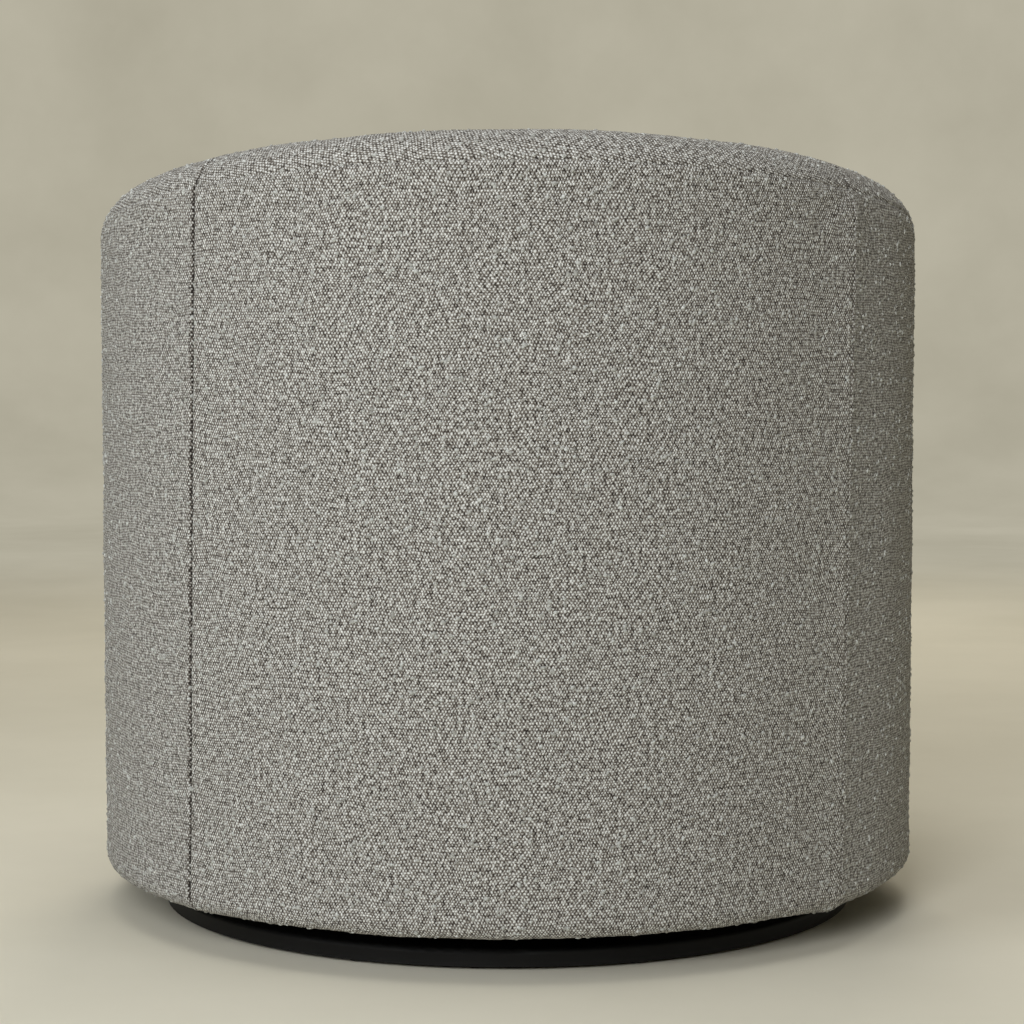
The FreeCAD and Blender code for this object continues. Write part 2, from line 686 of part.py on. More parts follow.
def swivel_plate(low_side):
    """Pressed plate: a flange, a step up to the raised middle, and the pressed ball groove."""
    half = 0.5 * SWIVEL_HEIGHT
    face = 0.5 * PLATE_GAP
    back = face + PLATE_STEEL
    step = PLATE_RADIUS - PLATE_FLANGE
    hole = RIVET_RADIUS if low_side else RIVET_RADIUS + RUNNING_GAP
    floor = BALL_RADIUS + BALL_CLEARANCE
    flank = floor * math.sqrt(2)
    ridge = (floor + PLATE_STEEL) * math.sqrt(2)
    inside = [
        (hole, face),
        (RACE_RADIUS - flank + face, face),
        (RACE_RADIUS - flank + floor, floor),
        (RACE_RADIUS + flank - floor, floor),
        (RACE_RADIUS + flank - face, face),
        (step - PLATE_STEP, face),
        (step, half - PLATE_STEEL),
        (PLATE_RADIUS, half - PLATE_STEEL),
    ]
    outside = [
        (PLATE_RADIUS, half),
        (step - 0.5 * PLATE_STEEL, half),
        (step - PLATE_STEP - 0.5 * PLATE_STEEL, back),
        (RACE_RADIUS + ridge - back, back),
        (RACE_RADIUS + ridge - floor - PLATE_STEEL, floor + PLATE_STEEL),
        (RACE_RADIUS - ridge + floor + PLATE_STEEL, floor + PLATE_STEEL),
        (RACE_RADIUS - ridge + back, back),
        (hole, back),
    ]
    plate = turned(inside + outside)
    if low_side:
        plate = plate.mirror(point(0, 0, 0), point(0, 0, 1))
    plate.translate(point(0, 0, SWIVEL_MIDDLE))
    return plate


def ball_cage():
    width = BALL_RADIUS + CAGE_MARGIN
    low = SWIVEL_MIDDLE - 0.5 * CAGE_THICKNESS
    high = low + CAGE_THICKNESS
    cage = ring(RACE_RADIUS - width, RACE_RADIUS + width, low, high)
    pocket = disc(BALL_RADIUS + BALL_CLEARANCE, low - 1, high + 1)
    return cage.cut(around(pocket, RACE_RADIUS, BALL_COUNT, 0))


def swivel_balls():
    ball = Part.makeSphere(BALL_RADIUS, point(0, 0, SWIVEL_MIDDLE))
    return Part.makeCompound(around(ball, RACE_RADIUS, BALL_COUNT, 0))


def centre_rivet():
    """Rivet that holds the two plates together, tight in the lower one and loose in the upper one."""
    half_gap = 0.5 * PLATE_GAP + PLATE_STEEL
    low = SWIVEL_MIDDLE - half_gap
    high = SWIVEL_MIDDLE + half_gap + RUNNING_GAP
    return turned([
        (0, low - RIVET_HEAD),
        (RIVET_HEAD_RADIUS, low - RIVET_HEAD),
        (RIVET_HEAD_RADIUS, low),
        (RIVET_RADIUS, low),
        (RIVET_RADIUS, high),
        (RIVET_HEAD_RADIUS, high),
        (RIVET_HEAD_RADIUS, high + RIVET_HEAD),
        (0, high + RIVET_HEAD),
    ])


def save(name, shape):
    shape.exportStep("parts/" + name + ".step")


def main():
    pieces = {}
    pieces.update(cover_panels())
    pieces["front_panel_cover"] = front_panel_cover()
    pieces.update(wall_padding())
    pieces["front_wadding"] = front_wadding()
    pieces.update(bent_boards())
    frame = frame_pieces()
    pieces.update(frame)
    uprights = [shape for name, shape in frame.items() if name != "top_rail"]
    pieces["front_posts"] = front_posts()
    pieces.update(seat_rails(uprights))
    pieces["base_board"] = base_board()
    pieces["webbing_across"], pieces["webbing_along"] = webbing()
    pieces["deck_pad"], pieces["deck_cloth"] = deck()
    pieces["dust_cover"] = dust_cover()
    pieces.update(cushion_pieces())
    pieces["zip_slider"], pieces["zip_pull"] = zip_slider()
    pieces["base_disc"] = base_disc()
    pieces["glides"] = glides()
    pieces["glide_nails"] = Part.makeCompound(glide_nail_shanks())
    pieces["swivel_lower_plate"] = swivel_plate(True).cut(base_screw_shanks() + [access_hole()])
    pieces["swivel_upper_plate"] = swivel_plate(False).cut(seat_screw_shanks())
    pieces["base_screws"] = base_screws()
    pieces["seat_screws"] = seat_screws()
    pieces["spacer_board"] = disc(SPACER_RADIUS, SWIVEL_TOP, BASE_BOARD_LOW).cut(seat_screw_shanks())
    pieces["ball_cage"] = ball_cage()
    pieces["swivel_balls"] = swivel_balls()
    pieces["centre_rivet"] = centre_rivet()
    for name, shape in pieces.items():
        save(name, shape)


main()
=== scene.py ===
import json
import math

import bpy
import numpy as np
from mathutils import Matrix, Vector, noise


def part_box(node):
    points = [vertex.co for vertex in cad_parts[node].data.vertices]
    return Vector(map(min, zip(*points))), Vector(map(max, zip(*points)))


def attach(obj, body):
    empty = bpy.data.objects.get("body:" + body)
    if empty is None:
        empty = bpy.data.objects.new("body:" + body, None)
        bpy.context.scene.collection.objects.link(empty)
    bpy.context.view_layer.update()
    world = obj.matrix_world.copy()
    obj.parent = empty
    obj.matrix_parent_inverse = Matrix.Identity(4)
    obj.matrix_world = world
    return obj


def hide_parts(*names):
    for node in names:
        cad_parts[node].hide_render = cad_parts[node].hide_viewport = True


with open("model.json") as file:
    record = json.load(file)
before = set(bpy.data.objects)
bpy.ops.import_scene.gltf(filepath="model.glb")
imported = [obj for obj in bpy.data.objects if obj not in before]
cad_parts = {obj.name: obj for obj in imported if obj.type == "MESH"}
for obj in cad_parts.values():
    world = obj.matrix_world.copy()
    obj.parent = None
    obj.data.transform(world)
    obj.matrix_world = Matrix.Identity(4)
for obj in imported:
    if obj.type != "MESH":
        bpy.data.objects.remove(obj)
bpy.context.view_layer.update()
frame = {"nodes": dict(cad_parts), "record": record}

# Tub chair in grey boucle on a round black base, seen from behind.
# Metres. Angles round the chair are measured from the back (+Y) towards the sitter's left (+X).

MM = 0.001

# Finished shell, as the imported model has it
OUTER_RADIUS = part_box("outside_back_cover")[1].y
TOTAL_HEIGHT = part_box("top_band_back")[1].z
HEM_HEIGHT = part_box("outside_back_cover")[0].z
DECK_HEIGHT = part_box("deck_cloth")[1].z
TOP_SLOPE = math.radians(8.3)           # fall of the top edge towards the arms
TOP_ROUND = 38 * MM                     # ball that is rolled along the top and down the arm ends
ARM_END = math.radians(125)
HEM_ROUND = 15 * MM
TURNED_IN = 22 * MM                     # cloth that is turned in under the hem
SIDE_SEAM = math.radians(47.7)
SEAM_LEAN = 0.021                       # lean of both side seams, per length of their height
SEAM_SHIFT = {1: -0.5 * MM, -1: 6 * MM}
INNER_SEAM = math.radians(56)
INNER_RADIUS = 255 * MM
INNER_SETBACK = 30 * MM
FLARE_RADIUS = 845 * MM                 # arc on which the inside leans out above the seat
SEAT_EDGE = 430 * MM
BELOW_DECK = 12 * MM                    # start of the inside panels, under the deck

# Front panel, between the arm fronts
FRONT_INSET = 6 * MM
FRONT_SINK = 0.6 * MM
FRONT_TUCK = math.radians(2.4)
FRONT_TOP_ROUND = 14 * MM
FRONT_LAP = 20 * MM

# Seams of the band: how far each outside and inside panel climbs the rounded edge
BAND_CLIMB = math.radians(18.4)
INNER_CLIMB = math.radians(8)
BAND_SEAM_HEIGHT = 640 * MM             # height at which the side seams meet the band

# Lengths on which the grids of points are spaced before they are fitted to the shell
CELL = 3.2 * MM
PANEL_TALL = 0.66
BAND_WIDE = 0.165
INSIDE_TALL = 0.32
CORNER_STATIONS = 26
ABOVE_HEM = 0.3                         # a height at which the hem no longer tells

# Relief of the boucle cloth, which is 2.5 mm thick, so no seam is drawn in deeper than that
SEAM_DEPTH = 2.0 * MM
SHALLOW_SEAM = 0.7 * MM                 # seam in the middle of the soft ridge
FAINT_SEAM = 0.5 * MM                   # the band's long seam, which is a change of weave
SEAM_WIDTH = 3.2 * MM
SEAM_SHADE_REACH = 1.5 * MM
RIDGE_SHADE = 2.2                       # how much sooner the shade ends in the ridge's seam
NO_SEAM = 1.0                           # distance of a point that no seam is near
RIDGE = 4.4 * MM
CROWN_REACH = 22 * MM
PUFF = 1.0 * MM
PUFF_REACH = 9 * MM
LUMP = 0.55 * MM
LUMP_SIZE = 5 * MM
SWELL = 0.9 * MM
SWELL_SIZE = 60 * MM

# Weave: loops in staggered rows, with slubs that stand out of them
LOOP_WIDTH = 2.67 * MM
LOOP_HEIGHT = 2.3 * MM
BIAS = math.radians(45)
SLUB_LENGTH = 5.2 * MM
SLUBS_PER_AREA = 5200.0

# Loose seat cushion
CUSHION_CLEARANCE = 4 * MM
CUSHION_CENTRE = -75 * MM
CUSHION_CROWN = 12 * MM
CUSHION_ROUND = 24 * MM
CUSHION_SEAM = 0.35                     # height of a seam on the rounded rim, as a share of it
EAR_ROUND = 34 * MM
CUSHION_START = 5 * MM                  # smaller all round before it is inflated
CUSHION_CAP = 9 * MM                    # furthest that inflating moves a point
CUSHION_VOXEL = 5 * MM
CUSHION_PRESSURE = 4.0
CUSHION_STEPS = 20
CUSHION_REST = 0.3 * MM                 # gap above the deck
PLACKET_LIP = 3 * MM
PLACKET_DEPTH = 1.5 * MM

# Cloths under the cushion and under the shell
CLOTH_GAP = 0.3 * MM
DECK_SAG = 5 * MM
DECK_RIPPLE = 0.4 * MM
DECK_RIPPLE_SIZE = 45 * MM
DUST_RIPPLE = 0.15 * MM
DUST_RIPPLE_SIZE = 30 * MM

# Studio floor and the backdrop that it curves up into
FLOOR_RADIUS = 5.0
BACKDROP_BEND = 1.4
BACKDROP_HEIGHT = 3.2

# Camera, fitted to the outline in the photograph
CAMERA_PLACE = (0.065, 2.48, 0.5266)
CAMERA_PITCH = math.radians(90 - 3.865)
CAMERA_TURN = math.radians(178.41)
CAMERA_LENS = 93.1


# Colours and material nodes

TIMES = {"operation": "MULTIPLY"}
TIMES_PLUS = {"operation": "MULTIPLY_ADD"}
COSINE = {"operation": "COSINE"}
LARGER = {"operation": "MAXIMUM"}
FLAT = {"noise_dimensions": "2D"}
WAVE_LENGTH = 0.314                     # crest to crest of a wave texture at scale 1


def colour(text):
    """sRGB hex colour as linear values with alpha."""
    parts = [int(text[k:k + 2], 16) / 255 for k in (1, 3, 5)]
    linear = [c / 12.92 if c <= 0.04045 else ((c + 0.055) / 1.055) ** 2.4 for c in parts]
    return linear + [1.0]


def node(tree, kind, settings=None, stops=(), **links):
    """Adds a node, with its settings as attributes and its colour stops as (place, sRGB hex).

    A link names its socket, or counts it as i0, i1 and so on. Its value is a plain value, a
    socket to link from, or a node, which stands for its first output.
    """
    made = tree.nodes.new(kind)
    for key, value in (settings or {}).items():
        setattr(made, key, value)
    for key, value in links.items():
        wanted = key.replace("_", " ").lower()
        found = [s for s in made.inputs if s.enabled and s.name.lower() == wanted]
        socket = found[0] if found else made.inputs[int(key[1:])]
        if isinstance(value, bpy.types.Node):
            value = value.outputs[0]
        if isinstance(value, bpy.types.NodeSocket):
            tree.links.new(value, socket)
        else:
            socket.default_value = value
    if stops:
        elements = made.color_ramp.elements
        while len(elements) < len(stops):
            elements.new(0.5)
        for element, (place, text) in zip(elements, stops):
            element.position = place
            element.color = colour(text)
    return made


def new_material(name):
    material = bpy.data.materials.new(name)
    material.use_nodes = True
    tree = material.node_tree
    tree.nodes.clear()
    return material, tree


def finish_material(tree, level, stops, height, strength, depth, **sockets):
    """Colour from a level, bump from a height, and the shader with its own plain sockets."""
    paint = node(tree, "ShaderNodeValToRGB", stops=stops, fac=level)
    bump = node(tree, "ShaderNodeBump", strength=strength, distance=depth, height=height)
    shader = node(tree, "ShaderNodeBsdfPrincipled", base_color=paint, normal=bump, **sockets)
    node(tree, "ShaderNodeOutputMaterial", surface=shader)


def boucle():
    """Woven boucle: staggered light loops with brownish dark gaps, matt and slightly fuzzy."""
    material, tree = new_material("boucle_weave")
    place = node(tree, "ShaderNodeUVMap", {"uv_map": "UVMap"})
    moved = place
    # The rows drift over 45 mm, and each loop sits a little out of line with its neighbours
    for size, reach in ((45.45 * MM, 7.0 * MM), (3.03 * MM, 1.3 * MM)):
        wander = node(tree, "ShaderNodeTexNoise", FLAT, vector=place, scale=1 / size, detail=1.0)
        shift = node(tree, "ShaderNodeVectorMath", {"operation": "SUBTRACT"},
                     i0=wander.outputs["Color"], i1=(0.5, 0.5, 0.5))
        small = node(tree, "ShaderNodeVectorMath", {"operation": "SCALE"}, i0=shift, scale=reach)
        moved = node(tree, "ShaderNodeVectorMath", {"operation": "ADD"}, i0=moved, i1=small)
    split = node(tree, "ShaderNodeSeparateXYZ", vector=moved)
    turns = []
    for axis, pitch in (("X", LOOP_WIDTH), ("Y", 2 * LOOP_HEIGHT), ("Y", LOOP_HEIGHT)):
        phase = node(tree, "ShaderNodeMath", TIMES, i0=split.outputs[axis], i1=2 * math.pi / pitch)
        turns.append(node(tree, "ShaderNodeMath", COSINE, i0=phase))
    across, rows, lines = turns
    staggered = node(tree, "ShaderNodeMath", TIMES, i0=across, i1=rows)
    loops = node(tree, "ShaderNodeMath", TIMES_PLUS, i0=lines, i1=0.3, i2=staggered)
    level = node(tree, "ShaderNodeMath", TIMES_PLUS, i0=loops, i1=0.42, i2=-0.55)
    # Thick and thin yarn, cloudy patches, and fibre, which is drawn coarser than real so it shows
    for size, detail, rough, strength in ((3.333 * MM, 2.0, 0.6, 1.5), (8.333 * MM, 1.0, 0.5, 0.3),
                                          (0.6667 * MM, 1.0, 0.7, 0.3)):
        uneven = node(tree, "ShaderNodeTexNoise", FLAT,
                      vector=place, scale=1 / size, detail=detail, roughness=rough)
        level = node(tree, "ShaderNodeMath", TIMES_PLUS, i0=uneven, i1=strength, i2=level)
    # Painted shade: darker near a seam, standing in for the shade in the seam's groove
    seam = node(tree, "ShaderNodeAttribute", {"attribute_name": "seam"}).outputs["Fac"]
    level = node(tree, "ShaderNodeMath", TIMES_PLUS, i0=seam, i1=-0.5, i2=level)
    height = node(tree, "ShaderNodeMath", TIMES_PLUS, i0=uneven, i1=0.3, i2=level)
    stops = [(0.0, "#1E1813"), (0.35, "#706A63"), (0.65, "#A5A49F"), (1.0, "#E6E8E6")]
    finish_material(tree, level, stops, height, 1.0, 0.8 * MM, roughness=0.95,
                    sheen_weight=0.12, sheen_roughness=0.5)
    return material


def slub_yarn():
    """Thick slubs of the same yarn that stand out of the weave, a little cooler and paler."""
    material, tree = new_material("boucle_slub")
    place = node(tree, "ShaderNodeTexCoord").outputs["Object"]
    curl = node(tree, "ShaderNodeTexNoise",
                vector=place, scale=1 / (1.111 * MM), detail=2.0, roughness=0.7)
    tone = node(tree, "ShaderNodeTexNoise", vector=place, scale=1 / (5.882 * MM), detail=1.0)
    curled = node(tree, "ShaderNodeMath", TIMES_PLUS, i0=curl, i1=0.5, i2=-0.23)
    level = node(tree, "ShaderNodeMath", TIMES_PLUS, i0=tone, i1=1.1, i2=curled)
    stops = [(0.0, "#5E5A54"), (0.45, "#9A9A95"), (0.8, "#C2C5C2"), (1.0, "#DFE2E0")]
    finish_material(tree, level, stops, curl, 0.9, 0.5 * MM, roughness=0.95,
                    sheen_weight=0.15, sheen_roughness=0.5)
    return material


def plain_cloth(name, dark, light, pitch, rough):
    """Flat woven cloth: threads crossed at a pitch, and tone that varies over 17 mm."""
    material, tree = new_material(name)
    place = node(tree, "ShaderNodeTexCoord").outputs["Object"]
    warp, weft = [node(tree, "ShaderNodeTexWave", {"bands_direction": way}, vector=place,
                       scale=WAVE_LENGTH / pitch, distortion=0.4, detail=1.0).outputs["Fac"]
                  for way in "XY"]
    cloud = node(tree, "ShaderNodeTexNoise", vector=place, scale=1 / (16.67 * MM), detail=3.0)
    threads = node(tree, "ShaderNodeMath", TIMES, i0=warp, i1=weft)
    body = node(tree, "ShaderNodeMath", TIMES, i0=threads, i1=0.5)
    level = node(tree, "ShaderNodeMath", TIMES_PLUS, i0=cloud, i1=0.6, i2=body)
    finish_material(tree, level, [(0.1, dark), (0.9, light)], threads, 0.5, 0.3 * MM,
                    roughness=rough)
    return material


def soft_filling(name, dark, light, cell, rough):
    """Open-cell foam or fluffy fibre: cells of a size, and tone that varies over 33 mm."""
    material, tree = new_material(name)
    place = node(tree, "ShaderNodeTexCoord").outputs["Object"]
    cells = node(tree, "ShaderNodeTexVoronoi", vector=place, scale=1 / cell).outputs["Distance"]
    cloud = node(tree, "ShaderNodeTexNoise", vector=place, scale=1 / (33.33 * MM), detail=4.0)
    tone = node(tree, "ShaderNodeMath", {"operation": "ADD"}, i0=cloud, i1=0.3)
    level = node(tree, "ShaderNodeMath", TIMES_PLUS, i0=cells, i1=-0.5, i2=tone)
    finish_material(tree, level, [(0.2, dark), (0.8, light)], cells, 0.6, 0.5 * MM,
                    roughness=rough)
    return material


def timber(name, dark, light, plies):
    """Planed softwood or plywood: grain 8 mm wide along the board, and plies of 1.5 mm."""
    material, tree = new_material(name)
    place = node(tree, "ShaderNodeTexCoord").outputs["Object"]
    long_grain = node(tree, "ShaderNodeMapping", vector=place, scale=(1.0, 9.0, 9.0))
    grain = node(tree, "ShaderNodeTexNoise",
                 vector=long_grain, scale=1 / (71.43 * MM), detail=6.0, roughness=0.6)
    lines = node(tree, "ShaderNodeTexWave", {"bands_direction": "Z"},
                 vector=place, scale=WAVE_LENGTH / (1.5 * MM), distortion=0.3).outputs["Fac"]
    level = node(tree, "ShaderNodeMath", TIMES_PLUS, i0=lines, i1=0.25 if plies else 0.03, i2=grain)
    finish_material(tree, level, [(0.3, dark), (0.75, light)], grain, 0.25, 0.3 * MM,
                    roughness=0.6)
    return material


def moulded(name, dark, light, rough, grit, metallic=0.0, specular=0.5):
    """Lacquered, moulded or plated: fine surface grit, and gloss and tone that vary over 56 mm."""
    material, tree = new_material(name)
    place = node(tree, "ShaderNodeTexCoord").outputs["Object"]
    fine = node(tree, "ShaderNodeTexNoise", vector=place, scale=1 / grit, detail=2.0)
    wide = node(tree, "ShaderNodeTexNoise", vector=place, scale=1 / (55.56 * MM), detail=3.0)
    gloss = node(tree, "ShaderNodeMath", TIMES_PLUS, i0=wide, i1=0.14, i2=rough - 0.07)
    finish_material(tree, wide, [(0.3, dark), (0.7, light)], fine, 0.15, 0.1 * MM,
                    roughness=gloss, metallic=metallic, specular_ior_level=specular)
    return material


def backdrop_paint():
    """Matt painted floor and backdrop in one warm pale tone, cloudy over 0.7 m.

    Near the chair it is plain paint and takes the chair's shadow. Far off, what the camera, gloss
    and glass see is the paint's own tone, whatever light falls there.
    """
    material, tree = new_material("matt_backdrop_paint")
    place = node(tree, "ShaderNodeTexCoord").outputs["Object"]
    cloud = node(tree, "ShaderNodeTexNoise",
                 vector=place, scale=1 / (714.3 * MM), detail=5.0, roughness=0.6)
    paint = node(tree, "ShaderNodeValToRGB", stops=[(0.3, "#DCD8C7"), (0.7, "#E8E4D4")], fac=cloud)
    near = node(tree, "ShaderNodeBsdfPrincipled", base_color=paint, roughness=0.85)
    tone = node(tree, "ShaderNodeValToRGB", stops=[(0.3, "#ACA795"), (0.7, "#B8B3A1")], fac=cloud)
    far = node(tree, "ShaderNodeEmission", color=tone, strength=1.0)
    reach = node(tree, "ShaderNodeVectorMath", {"operation": "LENGTH"}, i0=place)
    away = node(tree, "ShaderNodeMapRange", {"interpolation_type": "SMOOTHSTEP"},
                value=reach.outputs["Value"], from_min=1.6, from_max=4.2)
    ray = node(tree, "ShaderNodeLightPath").outputs
    clear = node(tree, "ShaderNodeMath", LARGER,
                 i0=ray["Is Glossy Ray"], i1=ray["Is Transmission Ray"])
    seen = node(tree, "ShaderNodeMath", LARGER, i0=ray["Is Camera Ray"], i1=clear)
    share = node(tree, "ShaderNodeMath", TIMES, i0=away, i1=seen)
    both = node(tree, "ShaderNodeMixShader", fac=share, i1=near, i2=far)
    node(tree, "ShaderNodeOutputMaterial", surface=both)
    return material


MATERIALS = {
    "boucle": boucle(),
    "slub": slub_yarn(),
    "backdrop": backdrop_paint(),
    # Charcoal cotton over the springing: flat and dull
    "platform_cloth": plain_cloth("platform_cloth", "#2F2E2C", "#4A4845", 0.9 * MM, 0.9),
    # Thin bonded fibre: near black, with a faint grid
    "dust_cloth": plain_cloth("spunbond_dust_cloth", "#121212", "#232323", 0.8 * MM, 0.85),
    # Rubber cores covered in yarn: dark, and ribbed both ways
    "webbing": plain_cloth("elastic_webbing", "#1F1E1E", "#353434", 1.4 * MM, 0.8),
    # Cut foam: creamy, with open cells
    "foam": soft_filling("open_cell_foam", "#D8CFB2", "#EFE9D3", 1.2 * MM, 0.9),
    # Carded fibre: white and fluffy
    "wadding": soft_filling("polyester_wadding", "#DCDCDA", "#F5F5F3", 2.5 * MM, 0.95),
    # Needled waste fibre: mottled grey
    "felt": soft_filling("needled_felt", "#77736C", "#A09C93", 1.0 * MM, 0.95),
    # Bare birch: pale, with the plies showing
    "plywood": timber("birch_plywood", "#B98F5E", "#DDBE8F", True),
    # Planed pine: yellow, with long grain
    "softwood": timber("planed_pine", "#C79A62", "#E6C792", False),
    # Sprayed satin lacquer on fibreboard: black, with only a dull gleam on its edge
    "black_lacquer": moulded("black_satin_lacquer", "#0C0C0C", "#131313", 0.55, 0.6 * MM,
                             specular=0.15),
    # Moulded and slightly textured: black, with a soft highlight
    "black_plastic": moulded("moulded_polypropylene", "#0B0B0B", "#151515", 0.5, 0.5 * MM),
    # Moulded: off-white and waxy
    "nylon": moulded("moulded_nylon", "#D5D2C8", "#E4E1D8", 0.45, 0.5 * MM),
    # Woven and coiled for the zip: grey like the cloth
    "zip_nylon": moulded("zip_nylon", "#6B6760", "#827E75", 0.5, 0.6 * MM),
    # Pressed and zinc plated: pale grey, softly blurred reflections
    "zinc_steel": moulded("zinc_plated_steel", "#A9A79E", "#C6C4BB", 0.35, 0.8 * MM, 1.0),
    # Ground and polished: bright, sharp reflections
    "ball_steel": moulded("ground_ball_steel", "#C9C9C7", "#DADAD8", 0.12, 0.8 * MM, 1.0),
}


# Shape of the shell: a core with plain edges, and a ball of the top rounding rolled over it

def unit(vectors):
    return vectors / np.linalg.norm(vectors, axis=-1, keepdims=True)


def stack(*parts):
    return np.stack(np.broadcast_arrays(*parts), -1).astype(float)


def square_to(direction, base):
    """Part of a direction that is square to a base direction, as a unit vector."""
    return unit(direction - (direction * base).sum(-1, keepdims=True) * base)


def swing(start, end, share):
    """Turns one unit vector towards another by a share of the angle between them."""
    angle = np.arccos(np.clip((start * end).sum(-1), -1, 1))[..., None]
    share = share[..., None]
    return (np.sin((1 - share) * angle) * start + np.sin(share * angle) * end) / np.sin(angle)


def top_plane(y, drop):
    crest = TOTAL_HEIGHT + TOP_ROUND * (1 / math.cos(TOP_SLOPE) - 1)
    return crest + (y - OUTER_RADIUS + TOP_ROUND) * math.tan(TOP_SLOPE) - drop / math.cos(TOP_SLOPE)


CORE_RADIUS = OUTER_RADIUS - TOP_ROUND
CORE_END = ARM_END - math.asin(TOP_ROUND / CORE_RADIUS)
TOP_NORMAL = np.array([0.0, -math.sin(TOP_SLOPE), math.cos(TOP_SLOPE)])
UP = np.array([0.0, 0.0, 1.0])


def arm_front(side):
    """Direction that the flat end of an arm faces."""
    return stack(side * math.cos(ARM_END), -math.sin(ARM_END), 0.0)


def outward(theta):
    return stack(np.sin(theta), np.cos(theta), 0.0)


def hem(t):
    """Height, draw-in and downward turn of the wall at a length t up from the floor."""
    turn = np.clip((HEM_HEIGHT + HEM_ROUND - t) / HEM_ROUND, 0, math.pi / 2)
    under = np.clip(HEM_HEIGHT + HEM_ROUND - t - HEM_ROUND * math.pi / 2, 0, None)
    height = np.where(turn > 0, HEM_HEIGHT + HEM_ROUND * (1 - np.sin(turn)), t)
    return height, HEM_ROUND * (1 - np.cos(turn)) + under, turn


HEM_START = HEM_HEIGHT + HEM_ROUND - HEM_ROUND * math.pi / 2 - TURNED_IN


def over_edge(core, lateral, along, upward, a, b, radius):
    """Point and normal on the ball at a core point, a past its end and b past its top."""
    straight = np.sqrt(np.clip(TOP_ROUND ** 2 - a ** 2 - b ** 2, 0, None))
    normal = straight[..., None] * lateral + a[..., None] * along + b[..., None] * upward
    normal = normal / TOP_ROUND
    return core + radius[..., None] * normal, normal


def outer_core(theta):
    core = CORE_RADIUS * outward(theta)
    core[..., 2] = top_plane(core[..., 1], TOP_ROUND)
    return core


def outside_wall(s, t):
    """Outside of the shell at a length s round from the back and t up the wall."""
    reach = CORE_END * OUTER_RADIUS
    theta = np.clip(s, -reach, reach) / OUTER_RADIUS
    lateral = outward(theta)
    along = stack(np.cos(theta), -np.sin(theta), 0.0)
    core = outer_core(theta)
    b = np.clip(t - core[..., 2], 0, None)
    height, drawn, turn = hem(t)
    core[..., 2] = np.minimum(height, core[..., 2])
    upward = square_to(np.broadcast_to(TOP_NORMAL, lateral.shape), lateral)
    a = s - theta * OUTER_RADIUS
    points, normal = over_edge(core, lateral, along, upward, a, b, TOP_ROUND - drawn)
    normal = np.cos(turn)[..., None] * normal - np.sin(turn)[..., None] * UP
    return points, normal


def inner_core_radius(z):
    flare = FLARE_RADIUS - TOP_ROUND
    rise = np.clip(z - SEAT_EDGE, 0, None)
    return INNER_RADIUS + TOP_ROUND + flare - np.sqrt(flare ** 2 - rise ** 2)


def inner_end_angle(z):
    """Angle round the seat's centre at which an arm's rounded end starts, at a height."""
    end = np.array([math.sin(ARM_END), math.cos(ARM_END)])
    face = arm_front(1)[:2]
    away = np.array([0.0, INNER_SETBACK]) - TOP_ROUND * face
    lean = end @ away
    far = -lean + np.sqrt(lean ** 2 - away @ away + inner_core_radius(z) ** 2)
    return np.arctan2(far * end[0] + away[0], far * end[1] + away[1])


def inner_core(phi, z):
    radius = inner_core_radius(z)
    return stack(radius * np.sin(phi), radius * np.cos(phi) - INNER_SETBACK, z)


def inner_core_top(phi):
    z = np.full(np.shape(phi), SEAT_EDGE)
    for _ in range(12):
        z = top_plane(inner_core(phi, z)[..., 1], TOP_ROUND)
    return z


def inner_top_end():
    """Angle and height of the core's inner corner at the top of an arm."""
    phi = np.array(2.0)
    for _ in range(20):
        phi = inner_end_angle(inner_core_top(phi))
    return float(phi), float(inner_core_top(phi))


INNER_TOP_ANGLE, INNER_TOP_HEIGHT = inner_top_end()


def inward(phi, z):
    lean = np.arcsin(np.clip(z - SEAT_EDGE, 0, None) / (FLARE_RADIUS - TOP_ROUND))
    return stack(-np.sin(phi) * np.cos(lean), -np.cos(phi) * np.cos(lean), np.sin(lean))


def inside_wall(share, v, low):
    """Inside of the shell: share -1 to 1 between the arm ends, v 0 to 1 up to the band's seam."""
    climb = TOP_ROUND * math.sin(INNER_CLIMB)
    phi = share * INNER_TOP_ANGLE
    for _ in range(8):
        top = inner_core_top(phi)
        tall = v * (top + climb - low) + low
        z = np.minimum(tall, top)
        end = inner_end_angle(z)
        radius = INNER_RADIUS + TOP_ROUND
        length = share * (end * radius + climb)
        phi = np.clip(length, -end * radius, end * radius) / radius
    a = length - phi * radius
    b = np.clip(tall - top, 0, None)
    b = np.minimum(b, np.sqrt(np.clip(climb ** 2 - a ** 2, 0, None)))
    lateral = inward(phi, z)
    along = stack(np.cos(phi), -np.sin(phi), 0.0)
    upward = square_to(np.broadcast_to(TOP_NORMAL, lateral.shape), lateral)
    radii = np.full(a.shape, TOP_ROUND)
    points, normal = over_edge(inner_core(phi, z), lateral, along, upward, a, b, radii)
    return points, normal, phi * radius + a, tall


def band_stations():
    """Stations along the band's spine: up one arm front, round its top corner and along the top."""
    heights = np.arange(HEM_START, outer_core(np.array(CORE_END))[2], CELL)
    turns = np.linspace(0, 1, CORNER_STATIONS)[1:-1]
    thetas = np.linspace(CORE_END, 0, int(CORE_END * OUTER_RADIUS / CELL))
    count = (len(heights), len(turns), len(thetas))
    flat = np.zeros(sum(count))
    flat[count[0]:count[0] + count[1]] = turns
    flat[count[0] + count[1]:] = 1
    theta = np.full(sum(count), CORE_END)
    theta[count[0] + count[1]:] = thetas
    phi = theta * INNER_TOP_ANGLE / CORE_END
    return heights, flat, theta, phi, count


